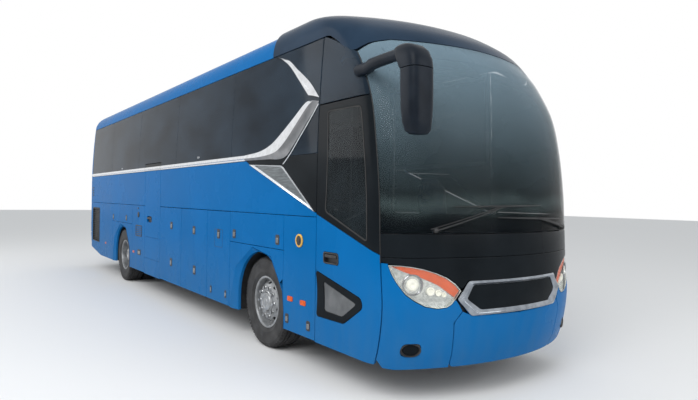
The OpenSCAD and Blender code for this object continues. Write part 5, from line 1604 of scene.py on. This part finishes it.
wheel = {"frontTrack": 2.08, "rearTrack": 1.83, "twin": 0.164, "rimRadius": 0.286, "halfRim": 0.125,
    "tyreRadius": 0.522,
    "halfTyre": 0.145, "handHoles": 10, "lugs": 72,
    # radii, and heights along the axle, of the discs and hubs
    "frontDisc": [(0.0, 0.112), (0.178, 0.112), (0.186, 0.110), (0.194, 0.105), (0.252, 0.050),
    (0.262, 0.0445), (0.3, 0.044)],
    "rearDisc": [(0.0, 0.014), (0.188, 0.014), (0.198, 0.017), (0.205, 0.022), (0.262, 0.060),
    (0.272, 0.066), (0.3, 0.070)],
    "frontHub": [(0.128, 0.108), (0.128, 0.120), (0.120, 0.124), (0.112, 0.120), (0.108, 0.134),
        (0.100, 0.141), (0.072, 0.143), (0.066, 0.137), (0.040, 0.136), (0.036, 0.140), (0.0005, 0.141),
        (0.0005, 0.100)],
    "rearHub": [(0.124, 0.0), (0.124, 0.17), (0.118, 0.196), (0.112, 0.20), (0.110, 0.214),
        (0.100, 0.232), (0.086, 0.238), (0.060, 0.240), (0.054, 0.234), (0.0005, 0.234), (0.0005, 0.0)]}


# z of the local frame points outwards along the axle
def axisPlace(d, y, sign):
    x = coach["nose"] - d
    return Matrix.Translation((x, sign * y, coach["axleHeight"])) @ Matrix.Rotation(-sign * math.pi / 2,
        4, "X")


def discSurface(place, profile):
    m = np.array(place)
    radii, heights = zip(*profile)

    def at(a, b, off=0):
        a, b = np.asarray(a, float), np.asarray(b, float)
        r = np.hypot(a, b)
        local = np.stack([a, b, np.interp(r, radii, heights) - off + 0 * a, 1 + 0 * a], -1)
        return (local @ m.T)[..., :3]
    return at


def circle(r, n, cx=0.0, cy=0.0, ry=None, turn=0.0):
    ry = ry or r
    out = []
    for k in range(n):
        a = 2 * math.pi * k / n
        x, y = r * math.cos(a), ry * math.sin(a)
        c, s = math.cos(turn), math.sin(turn)
        out.append((cx + x * c - y * s, cy + x * s + y * c))
    return out


def disc(parts, place, profile, holeAt, holeSize, inner, outer):
    holes = [circle(inner, 40)]
    for k in range(wheel["handHoles"]):
        a = 2 * math.pi * (k + 0.5) / wheel["handHoles"]
        holes.append(circle(holeSize[0], 18, holeAt * math.cos(a), holeAt * math.sin(a), holeSize[1], a))
    skin(parts, discSurface(place, profile), circle(outer, 84), holes, thick=0.013, roll=0.003,
        cell=(0.022, 0.02), step=0.02, inset=0)


def rimBarrel(parts, place, shift):
    r, h = wheel["rimRadius"], wheel["halfRim"]
    profile = [(r - 0.010, -h + 0.003), (r - 0.007, -h), (r + 0.012, -h), (r + 0.014, -h + 0.003),
        (r + 0.012, -h + 0.008), (r, -h + 0.010), (r, h - 0.010), (r + 0.012, h - 0.008),
        (r + 0.014, h - 0.003), (r + 0.012, h), (r - 0.007, h), (r - 0.010, h - 0.003),
        (r - 0.016, h - 0.02), (r - 0.018, 0.0), (r - 0.016, -h + 0.02)]
    revolve(parts, [(a, b + shift) for a, b in profile], place, 0, 72)


def tyreShape(parts, place, shift, steps=96):
    r, h, bead, rim = wheel["tyreRadius"], wheel["halfTyre"], wheel["halfRim"] - 0.0085, wheel["rimRadius"]
    half = [(rim + 0.001, bead - 0.004), (rim + 0.014, bead - 0.001), (rim + 0.017, bead + 0.006),
        (rim + 0.03, h - 0.016), (rim + 0.056, h - 0.005), (rim + 0.062, h - 0.003),
        (rim + 0.066, h - 0.005), (r - 0.13, h - 0.001), (r - 0.10, h), (r - 0.062, h - 0.003),
        (r - 0.058, h - 0.0005), (r - 0.052, h - 0.0045), (r - 0.03, h - 0.010), (r - 0.013, h - 0.022),
        (r - 0.004, h - 0.040), (r - 0.001, h - 0.052), (r - 0.012, h - 0.054), (r - 0.012, h - 0.062),
        (r, h - 0.064), (r, h - 0.098), (r - 0.013, h - 0.100), (r - 0.013, h - 0.110), (r, h - 0.112)]
    loop = [(a, b + shift) for a, b in half] + [(a, -b + shift) for a, b in half[::-1]]
    revolve(parts, loop, place, 0, steps)


# shoulder blocks of a tyre: boxes round an axis, all turned to face outwards
def lugTree():
    tree = emptyTree("shoulderLugs", [("Count", "NodeSocketInt", 72), ("Radius", "NodeSocketFloat", 0.51),
        ("Height", "NodeSocketFloat", 0.1), ("Size", "NodeSocketVector", (0.02, 0.03, 0.03)),
        ("Lean", "NodeSocketFloat", 0.6), ("Seed", "NodeSocketInt", 1),
        ("Finish", "NodeSocketMaterial", None)])
    group, out = addNode(tree, "NodeGroupInput"), addNode(tree, "NodeGroupOutput")
    ring = addNode(tree, "GeometryNodeMeshCircle")
    cube = addNode(tree, "GeometryNodeMeshCube")
    index = addNode(tree, "GeometryNodeInputIndex")
    share = addNode(tree, "ShaderNodeMath", operation="DIVIDE")
    angle = addNode(tree, "ShaderNodeMath", operation="MULTIPLY")
    angle.inputs[1].default_value = 2 * math.pi
    turn = addNode(tree, "ShaderNodeCombineXYZ")
    lean = addNode(tree, "GeometryNodeTransform")
    leanBy = addNode(tree, "ShaderNodeCombineXYZ")
    up = addNode(tree, "ShaderNodeCombineXYZ")
    lift = addNode(tree, "GeometryNodeTransform")
    place = addNode(tree, "GeometryNodeInstanceOnPoints")
    real = addNode(tree, "GeometryNodeRealizeInstances")
    paint = addNode(tree, "GeometryNodeSetMaterial")
    wireAll(tree,
        (group, "Count", ring, "Vertices"), (group, "Radius", ring, "Radius"),
        (group, "Size", cube, "Size"), (cube, "Mesh", lean, "Geometry"), (group, "Lean", leanBy, "Y"),
        (leanBy, 0, lean, "Rotation"), (index, 0, share, 0), (group, "Count", share, 1),
        (share, 0, angle, 0), (angle, 0, turn, "Z"), (ring, 0, place, "Points"),
        (lean, 0, place, "Instance"), (turn, 0, place, "Rotation"), (group, "Height", up, "Z"),
        (place, 0, real, 0), (real, 0, lift, "Geometry"), (up, 0, lift, "Translation"),
        (lift, 0, paint, "Geometry"), (group, "Finish", paint, "Material"), (paint, 0, out, 0))
    return tree


# meshes of the others are taken into the first object
def joined(first, *others):
    bm = bmesh.new()
    bm.from_mesh(first.data)
    for other in others:
        slots = []
        for m in other.data.materials:
            if m is not None and first.data.materials.find(m.name) < 0:
                first.data.materials.append(m)
            slots.append(0 if m is None else first.data.materials.find(m.name))
        start = len(bm.faces)
        bm.from_mesh(other.data)
        bm.faces.ensure_lookup_table()
        for face in bm.faces[start:]:
            face.material_index = slots[face.material_index] if slots else 0
        old = other.data
        bpy.data.objects.remove(other)
        bpy.data.meshes.remove(old)
    bm.to_mesh(first.data)
    bm.free()
    first.data.set_sharp_from_angle(angle=math.radians(35))
    return first


# rows of nuts: how many, the radius of their ring, radius and height of a nut, and where along the axle
def rimPiece(name, parts, place, nuts, nutRows, body, node):
    obj = fixNormals(finishMesh(name, parts, [rimPaint, hubSteel, blackPlastic], 32))
    joined(obj, *[grown(nuts, "nuts", {"Count": count, "Circle Radius": ring, "Nut Radius": radius,
        "Nut Height": height,
        "Seed": 3, "Finish": hubSteel}, place @ Matrix.Translation((0, 0, z))) for count, ring, radius,
        height, z in nutRows])
    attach(obj, body)
    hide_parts(node)


def makeWheels():
    w, g = wheel, coach
    nuts, lugs = nutTree(), lugTree()
    for sign, side in ((-1, "right"), (1, "left")):
        place = axisPlace(g["frontAxle"], w["frontTrack"] / 2, sign)
        parts = Parts()
        rimBarrel(parts, place, 0)
        disc(parts, place, w["frontDisc"], 0.224, (0.019, 0.030), 0.105, 0.280)
        revolve(parts, w["frontHub"], place, 1, 48)
        rimPiece(f"{side}_front_wheel_disc", parts, place, nuts, [(10, 0.1675, 0.018, 0.026, 0.113)],
            f"{side}_front_wheel", f"{side}_front_rim")
        tyres(f"{side}_front_tyre_rubber", place, [0], f"{side}_front_wheel", f"{side}_front_tyre", lugs)
        place = axisPlace(g["rearAxle"], w["rearTrack"] / 2, sign)
        parts = Parts()
        for shift in (w["twin"], -w["twin"]):
            rimBarrel(parts, place, shift)
        for facing in (place, place @ Matrix.Rotation(math.pi, 4, "X")):
            disc(parts, facing, w["rearDisc"], 0.236, (0.017, 0.028), 0.118, 0.280)
        revolve(parts, w["rearHub"], place, 1, 48)
        rimPiece(f"{side}_rear_wheel_discs", parts, place, nuts,
            [(10, 0.1675, 0.018, 0.030, 0.015), (8, 0.098, 0.008, 0.012, 0.226)],
            f"{side}_rear_wheels", f"{side}_rear_rims")
        tyres(f"{side}_rear_tyre_rubber", place, [w["twin"], -w["twin"]], f"{side}_rear_wheels",
            f"{side}_rear_tyres", lugs)


def tyres(name, place, shifts, body, node, lugs):
    parts = Parts()
    for shift in shifts:
        tyreShape(parts, place, shift)
    obj = fixNormals(finishMesh(name, parts, [tyreRubber], 30))
    more = []
    for shift in shifts:
        for s in (-1, 1):
            more.append(grown(lugs, "lugs", {"Count": wheel["lugs"],
                "Radius": wheel["tyreRadius"] - 0.0195, "Height": s * 0.1215,
                "Size": (0.022, 0.024, 0.030), "Lean": -s * 0.62, "Seed": 1, "Finish": tyreRubber},
                place @ Matrix.Translation((0, 0, shift))))
    joined(obj, *more)
    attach(obj, body)
    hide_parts(node)


# slats over a dark sheet that is already made
def slatPanel(obj, body, rows):
    tree = barTree()
    joined(obj, *[grown(tree, "slats", row) for row in rows])
    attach(obj, body)


def makeVents():
    for sign, surface, side in ((-1, rightSide, "right"), (1, leftSide, "left")):
        back = Parts()
        skin(back, below(surface, 0.034), rect(10.87, 11.63, 0.62, 1.44), thick=0.008, roll=0.001,
            cell=(0.4, 0.4), step=0.4)
        frameLoop = rounded(sides["vent"], 0.04)
        shrunk = rounded([(10.90, 0.65), (11.60, 0.66), (11.60, 1.41), (10.90, 1.41)], 0.03)
        bezel(back, surface, frameLoop, shrunk, [(0, -0.03), (0, 0.001), (0.3, 0.004), (1, 0.003),
            (1, -0.03)])
        obj = fixNormals(finishMesh(f"{side}_rear_vent", back, [blackPlastic], 35))
        start = (coach["nose"] - 11.25, sign * 1.262, 0.68)
        slatPanel(obj, "coach", [{"Count": 17, "Start": start, "Step": (0, 0, 0.0445),
            "Size": (0.70, 0.026, 0.006), "Turn": (sign * 0.75, 0, 0), "Seed": 5, "Finish": blackPlastic}])
    back = Parts()
    skin(back, below(tailAt, 0.034), rect(-0.63, 0.63, 0.94, 1.51), thick=0.006, roll=0.001,
        cell=(0.2, 0.3), step=0.2)
    obj = finishMesh("engine_door_louvres", back, [blackPlastic], 35)
    rows = []
    for k in range(rear["louvres"]):
        z = 0.975 + k * 0.0385
        p = tailAt(0, z, 0.016)
        rows.append({"Count": 1, "Start": (float(p[0]) + 0.003, 0.0, z), "Step": (0, 0, 0),
            "Size": (0.022, 1.235, 0.005),
            "Turn": (0, -0.7, 0), "Seed": 5, "Finish": blackPlastic})
    slatPanel(obj, "engine_door", rows)


archLiner = {"radius": 0.595, "top": 0.57, "foot": -0.18, "outerY": 1.222, "innerY": 0.56}


# half-round sheet over a wheel
def liner(parts, d, sign):
    x, z0, r, high = coach["nose"] - d, coach["axleHeight"], archLiner["radius"], archLiner["top"]
    n = 28
    ring = [(r * math.cos(math.pi * k / n), r * math.sin(math.pi * k / n)) for k in range(n + 1)]
    ring = [(r, archLiner["foot"])] + ring + [(-r, archLiner["foot"])]
    ys = (archLiner["outerY"], archLiner["innerY"])
    outer = np.array([[(x + a, sign * y, z0 + min(b, high)) for a, b in ring] for y in ys])
    inner = np.array([[(x + a * 1.012, sign * y, z0 + min(b, high) + 0.006) for a, b in ring] for y in ys])
    gridShell(parts, outer, inner)


def makeLiners():
    parts = Parts()
    for d in (coach["frontAxle"], coach["rearAxle"]):
        for sign in (-1, 1):
            liner(parts, d, sign)
    fixNormals(piece("wheel_arch_liners", "coach", parts, [blackPlastic]))


def marker(parts, surface, d, z, w, h, mat, lift=0.008, r=0.3):
    loop = rounded(rect(d - w / 2, d + w / 2, z - h / 2, z + h / 2), r * min(w, h))
    skin(parts, surface, loop, thick=0.012, roll=min(0.003, 0.2 * min(w, h)), cell=(0.2, 0.2), step=0.1,
        lift=lift, mat=mat, inset=0)


def roundFitting(parts, surface, d, z, profile, mat):
    revolve(parts, profile, Matrix.Translation(surface(d, z, 0)) @ outward(surface, d, z), mat, 32)


# lengths behind the nose and heights
fittings = {
    "latches": [(3.357, 1.275), (2.230, 1.276), (9.566, 1.273), (8.508, 1.285)],
    "lowLatches": [(1.995, 0.466), (1.567, 0.464)],
    "repeaters": [(1.931, 0.681), (1.672, 0.677)],
    "medallion": (1.755, 1.300),
    "filler": (7.638, 1.376),
    "labels": [(8.897, 2.275), (4.626, 2.290)],
}


def makeSideFittings():
    g = fittings
    for surface, side in ((rightSide, "right"), (leftSide, "left")):
        parts = Parts()
        mats = [blackPlastic, amberLens, darkChrome, yellowEnamel, paleLabel, redLens]
        for d, z in g["latches"]:
            latch(parts, surface, d, z, 0.085, 0.11, 0, 2)
        for d, z in g["lowLatches"]:
            latch(parts, surface, d, z, 0.07, 0.10, 0, 2)
        for d, z in g["repeaters"]:
            marker(parts, surface, d, z, 0.105, 0.052, 1)
        for d in (7.95, 10.25):
            marker(parts, surface, d, 0.662, 0.09, 0.04, 1, 0.007)
        if side == "right":
            roundFitting(parts, surface, *g["medallion"], [(0.0005, 0.0), (0.066, 0.0), (0.070, 0.006),
                (0.066, 0.014), (0.052, 0.015), (0.050, 0.010), (0.0005, 0.010)], 3)
            roundFitting(parts, surface, *g["medallion"], [(0.0005, 0.009), (0.048, 0.009),
                (0.048, 0.012), (0.022, 0.013), (0.020, 0.018), (0.0005, 0.018)], 0)
            roundFitting(parts, surface, *g["filler"], [(0.0005, 0.0), (0.05, 0.0), (0.05, 0.008),
                (0.044, 0.012), (0.0005, 0.012)], 0)
            marker(parts, surface, 7.678, 1.494, 0.06, 0.03, 0, 0.006)
            outer = rounded(rect(7.415, 7.821, 0.974, 1.180), 0.02)
            inner = rounded(rect(7.435, 7.801, 0.994, 1.160), 0.012)
            bezel(parts, surface, outer, inner, [(0, -0.004), (0, 0.003), (0.3, 0.006), (1, 0.004),
                (1, -0.004)], 0)
            for z in (1.02, 1.055, 1.09, 1.125):
                marker(parts, surface, 7.618, z, 0.35, 0.012, 0, 0.003)
            latch(parts, surface, 7.575, 0.680, 0.20, 0.10, 0, 2)
            outer = rounded(rect(3.723, 3.984, 1.070, 1.306), 0.02)
            inner = rounded(rect(3.727, 3.980, 1.074, 1.302), 0.018)
            bezel(parts, surface, outer, inner, [(0, -0.004), (0, 0.0012), (1, 0.0012), (1, -0.004)])
        for d, z in g["labels"]:
            marker(parts, surface, d, z, 0.075, 0.022, 4, 0.006)
        for k in range(4):
            marker(parts, surface, 11.60, 1.72 + 0.06 * k, 0.14, 0.028, 0, 0.004, 0.4)
        fixNormals(piece(f"{side}_side_fittings", "coach", parts, mats))


# a crowned pad whose sides pull in between its corners
def softBlock(size, pinch, crown):
    flatness = 6.0
    bm = bmesh.new()
    bmesh.ops.create_cube(bm, size=2)
    bmesh.ops.subdivide_edges(bm, edges=bm.edges[:], cuts=7, use_grid_fill=True)
    for v in bm.verts:
        x, y, z = v.co
        r = Vector((x, y, z)) / (abs(x) ** flatness + abs(y) ** flatness
            + abs(z) ** flatness) ** (1 / flatness)
        sx = 1 - pinch * (1 - y * y) * (1 - z * z) * (1 if abs(x) > 0.99 else 0)
        sy = 1 - pinch * (1 - x * x) * (1 - z * z) * (1 if abs(y) > 0.99 else 0)
        lift = crown * (1 - x * x) * (1 - y * y) * (1 if z > 0 else 0)
        v.co = Vector((r.x * sx * size[0] / 2, r.y * sy * size[1] / 2, r.z * size[2] / 2 + lift))
    return bm


# the pad swelled by a short cloth run, each point's move capped
def blownUp(bm, voxel, pressure, cap, frames=16):
    mesh = bpy.data.meshes.new("pad")
    bm.to_mesh(mesh)
    bm.free()
    obj = bpy.data.objects.new("pad", mesh)
    bpy.context.scene.collection.objects.link(obj)
    remesh = obj.modifiers.new("remesh", "REMESH")
    remesh.mode, remesh.voxel_size = "VOXEL", voxel
    obj = toPiece(obj, "pad")
    start = np.empty(len(obj.data.vertices) * 3)
    obj.data.vertices.foreach_get("co", start)
    cloth = obj.modifiers.new("cloth", "CLOTH")
    cloth.settings.use_pressure = True
    cloth.settings.uniform_pressure_force = pressure
    cloth.settings.effector_weights.gravity = 0
    cloth.settings.quality = 6
    cloth.point_cache.frame_end = frames
    for f in range(1, frames + 1):
        bpy.context.scene.frame_set(f)
    obj = toPiece(obj, "pad")
    end = np.empty_like(start)
    obj.data.vertices.foreach_get("co", end)
    move = (end - start).reshape(-1, 3)
    far = np.linalg.norm(move, axis=1, keepdims=True)
    move *= np.minimum(1, cap / np.maximum(far, 1e-9))
    obj.data.vertices.foreach_set("co", (start.reshape(-1, 3) + move).ravel())
    bpy.context.scene.frame_set(1)
    pad = Parts()
    pad.add([v.co for v in obj.data.vertices], [tuple(p.vertices) for p in obj.data.polygons])
    old = obj.data
    bpy.data.objects.remove(obj)
    bpy.data.meshes.remove(old)
    return pad


def stamp(parts, source, matrix, mat):
    parts.add([matrix @ Vector(v) for v in source.verts], source.faces, mat)


# the pads are length, width and thickness; lean is a back's angle from the cushion
seats = {
    "first": 2.98,
    "pitch": 0.78,
    "gap": 0.25,
    "width": 0.90,
    "floor": 1.30,
    "height": 0.45,
    "rows": 11,
    "doorFront": 6.354,
    "doorRear": 7.25,
    "cushion": (0.43, 0.425, 0.085),
    "back": (0.66, 0.425, 0.075),
    "head": (0.13, 0.30, 0.07),
    "lean": 104,
    "driverAt": (1.55, 0.62),
    "driverLean": 98,
}


def makeSeats():
    g = seats
    base = blownUp(softBlock(g["cushion"], 0.03, 0.008), 0.024, 3.0, 0.008)
    back = blownUp(softBlock(g["back"], 0.03, 0.01), 0.026, 3.0, 0.008)
    head = blownUp(softBlock(g["head"], 0.05, 0.008), 0.021, 2.0, 0.005)
    print("seat pads simulated", len(base.faces), len(back.faces))
    cloth, hard = Parts(), Parts()
    rows = [g["first"] + k * g["pitch"] for k in range(g["rows"])]
    for sign in (1, -1):
        for d in rows:
            if d > coach["length"] - 0.9 or (sign < 0 and g["doorFront"] - 0.7 <= d <= g["doorRear"]
                + 0.06):
                continue
            x = coach["nose"] - d
            for seat in (0, 1):
                y = sign * (g["gap"] + g["width"] * (0.25 + 0.5 * seat))
                z = g["floor"] + g["height"]
                stamp(cloth, base, Matrix.Translation((x - 0.225, y, z - 0.050)), 0)
                lean = Matrix.Translation((x - 0.44, y,
                    z + 0.005)) @ Matrix.Rotation(math.radians(-g["lean"]), 4, "Y")
                stamp(cloth, back, lean @ Matrix.Translation((0.33, 0, -0.0)), 0)
                stamp(cloth, head, lean @ Matrix.Translation((0.585, 0, 0.042)), 1)
                shell = lean @ Matrix.Translation((0.33, 0, -0.042))
                roundBox(hard, (-0.32, -0.20, -0.008), (0.33, 0.20, 0.012), 0.01, 0, 2, shell)
            for y in (0.10, g["width"] - 0.10):
                yy = sign * (g["gap"] + y)
                roundBox(hard, (x - 0.43, yy - 0.02, g["floor"]), (x - 0.05, yy + 0.02, z - 0.13), 0.008, 0)
            for y in (0.0, 0.45, 0.90):
                yy = sign * (g["gap"] + y)
                side = 0.014 if y else 0.02
                roundBox(hard, (x - 0.46, yy - side, z + 0.16), (x - 0.12, yy + side, z + 0.195), 0.012, 0)
    obj = piece("passenger_seat_cushions", "coach", cloth, [seatFabric, headCloth],
        ["passenger_seats"], 60)
    piece("passenger_seat_frames", "coach", hard, [blackPlastic])
    cloth = Parts()
    x, y = coach["nose"] - g["driverAt"][0], g["driverAt"][1]
    stamp(cloth, base, Matrix.Translation((x, y, 1.245)) @ Matrix.Diagonal((1.1, 1.08, 1.25, 1)), 0)
    lean = Matrix.Translation((x - 0.20, y, 1.29)) @ Matrix.Rotation(math.radians(-g["driverLean"]), 4, "Y")
    stamp(cloth, back, lean @ Matrix.Translation((0.33, 0, 0.0)) @ Matrix.Diagonal((1.0, 1.08, 1.3, 1)), 0)
    stamp(cloth, head, lean @ Matrix.Translation((0.66, 0, 0.01)), 0)
    obj = piece("driver_seat_cushions", "coach", cloth, [seatFabric], ["driver_seat"], 60)
    hard = Parts()
    roundBox(hard, (x - 0.21, y - 0.17, 0.92), (x + 0.19, y + 0.17, 1.14), 0.03, 0)
    for k in range(5):
        roundBox(hard, (x - 0.19 + 0.008 * (k % 2), y - 0.155, 0.93 + k * 0.045),
            (x + 0.17, y + 0.155, 0.965 + k * 0.045), 0.012, 0)
    roundBox(hard, (x - 0.25, y - 0.24, 1.14), (x + 0.23, y + 0.24, 1.195), 0.025, 0)
    for s in (-1, 1):
        roundBox(hard, (x - 0.22, y + s * 0.285 - 0.022, 1.42), (x + 0.12, y + s * 0.285 + 0.022, 1.465),
            0.02, 0)
    fixNormals(piece("driver_seat_base", "coach", hard, [blackPlastic]))


# lengths are behind the nose
cabin = {
    "dashHalf": 1.03,
    "dials": [(0.52, 0.06), (0.68, 0.06), (0.60, 0.03)],
    "screens": (-0.75, 0.02, 0.18),
    "wheelBack": 1.06,
    "wheelY": 0.62,
    "wheelHeight": 1.56,
    "wheelTilt": 30,
    "spokes": (25, 155, 215, 325),
    "ceiling": (1.6, 11.2),
    "rackEnds": (2.55, 11.25),
    "rack": [(1.14, 2.92), (0.62, 2.83), (0.56, 2.86), (0.55, 2.92), (0.60, 2.93), (0.66, 2.90),
    (1.14, 2.98)],
    "pole": 0.016,
}


def makeDashboard():
    g, nose = cabin, coach["nose"]
    # a curved body with a hood over the dials, and screens
    parts = Parts()
    rows = []
    for y in np.linspace(-g["dashHalf"], g["dashHalf"], 43):
        bow = float(planOutline(coach["frontRadius"], coach["cornerRadius"], abs(y), 0.09)[0]) + 0.06
        deep = float(np.interp(y, [-1.1, -0.35, -0.08, 0.2, 1.1], [0.54, 0.56, 0.84, 0.90, 0.90]))
        hood = float(np.interp(abs(y - g["wheelY"]), [0, 0.26, 0.36, 0.5], [0.055, 0.05, 0.0, 0.0]))
        line = [(bow + 0.02, 0.93), (bow, 1.0), (bow, 1.38), (bow + 0.02, 1.425), (bow + 0.10, 1.445),
            (deep - 0.14, 1.43 + hood), (deep - 0.05, 1.425 + hood), (deep - 0.01, 1.405 + hood * 0.8),
            (deep - 0.03, 1.36), (deep - 0.10, 1.27), (deep - 0.04, 1.22), (deep - 0.05, 1.15),
            (deep - 0.10, 1.0), (deep - 0.10, 0.93)]
        rows.append([(nose - d, y, z) for d, z in line])
    loft(parts, rows)
    for y in g["screens"]:
        roundBox(parts, (nose - 0.60 - 0.30 * (y > -0.5), y - 0.06, 1.28),
            (nose - 0.45 - 0.36 * (y > -0.5), y + 0.06, 1.35), 0.01, 1)
    for y, r in g["dials"]:
        place = Matrix.Translation((nose - 0.872, y, 1.345)) @ Matrix.Rotation(math.radians(-75), 4, "Y")
        revolve(parts, [(0.0005, 0.0), (r, 0.0), (r + 0.006, 0.01), (r, 0.016), (r - 0.008, 0.008),
            (0.0005, 0.008)], place, 2, 28)
    # steering column, square to the wheel
    tube(parts, [(nose - g["wheelBack"] + 0.5 * t, g["wheelY"], g["wheelHeight"] - 0.866 * t)
        for t in (0.09, 0.2, 0.33)], [0.045, 0.05, 0.055], 1, 20)
    fixNormals(piece("dashboard_shell", "coach", parts, [dashPlastic, blackPlastic, hubSteel],
        ["dashboard"], 35))


def makeSteeringWheel():
    g = cabin
    parts = Parts()
    place = Matrix.Translation((coach["nose"] - g["wheelBack"], g["wheelY"], g["wheelHeight"]))
    place = place @ Matrix.Rotation(math.radians(-g["wheelTilt"]), 4, "Y")
    ring = [(0.210 + 0.015 * math.cos(a), 0.017 * math.sin(a))
        for a in np.linspace(0, 2 * math.pi, 12, endpoint=False)]
    revolve(parts, ring, place, 0, 56)
    for spoke in g["spokes"]:
        a = math.radians(spoke)
        path = [place @ Vector((r * math.cos(a), r * math.sin(a), z)) for r,
            z in ((0.03, -0.012), (0.09, -0.012), (0.15, -0.006), (0.205, 0))]
        tube(parts, path, [0.022, 0.018, 0.014, 0.011], 1, 10, 0.5, place.to_3x3() @ Vector((0, 0, 1)))
    revolve(parts, [(0.0005, 0.012), (0.03, 0.012), (0.052, 0.006), (0.06, -0.01), (0.05, -0.058),
        (0.0005, -0.058)], place, 0, 36)
    fixNormals(piece("steering_wheel_grip", "steering_wheel", parts, [blackPlastic, darkChrome],
        ["steering_wheel"], 40))


# ceiling, parcel racks and poles, then the rolled-up shades over the windshield
def makeLining():
    g, nose = cabin, coach["nose"]
    parts = Parts()
    w = np.linspace(-0.93, 0.93, 25)
    ds = np.linspace(*g["ceiling"], 9)
    outer, inner = (np.array([[(nose - d, y * 1.2, 3.30 + 0.20 * (1 - abs(y) ** 3) - off) for y in w]
        for d in ds])
        for off in (0, 0.02))
    gridShell(parts, outer, inner)
    for sign in (-1, 1):
        n = len(g["rack"])
        verts = [(nose - d, sign * y, z) for d in g["rackEnds"] for y, z in g["rack"]]
        faces = [(i, (i + 1) % n, n + (i + 1) % n, n + i) for i in range(n)]
        faces += [tuple(range(n)), tuple(n + i for i in range(n))[::-1]]
        parts.add(verts, faces)
    for y in (-0.33, 0.33):
        tube(parts, [(nose - 2.2, y, 1.30), (nose - 2.2, y, 2.2), (nose - 2.2, y, 3.33)], g["pole"], 1,
            12, 1.0, (0, 1, 0))
    rail = [(-0.95, 1.5), (-0.62, 1.62), (-0.40, 1.75), (-0.36, 1.2)]
    tube(parts, [(nose - 1.48, y, z) for y, z in rail], g["pole"], 1, 12)
    roundBox(parts, (nose - 1.60, -0.30, 2.96), (nose - 1.30, 0.30, 3.05), 0.03, 2)
    fixNormals(piece("cabin_lining", "coach", parts, [cabinTrim, hubSteel, blackPlastic]))
    parts = Parts()
    for s in (-1, 1):
        pts = [tuple(frontAt(s * u, 2.93 - 0.02 * u, 0.10)) for u in np.linspace(0.12, 1.12, 9)]
        tube(parts, pts, 0.028, 0, 14)
    fixNormals(piece("windshield_blinds", "coach", parts, [blackPlastic]))


makeGlazing()
makeWindshield()
frontPanels()
frontGrille()
headLamps()
sideTrim("right_side_trim", rightSide, True)
sideTrim("left_side_trim", leftSide, False)
print("front and trim made")
makeFrontDoor()
makeMidDoor()
makeHatches()
makeDriverSide()
print("doors made")
makeRoof()
makeTail()
makeMirrors()
makeWipers()
print("roof, tail, mirrors and wipers made")
makeWheels()
makeLiners()
makeVents()
makeSideFittings()
print("wheels, vents and fittings made")
makeSeats()
makeDashboard()
makeSteeringWheel()
makeLining()
print("cabin made")
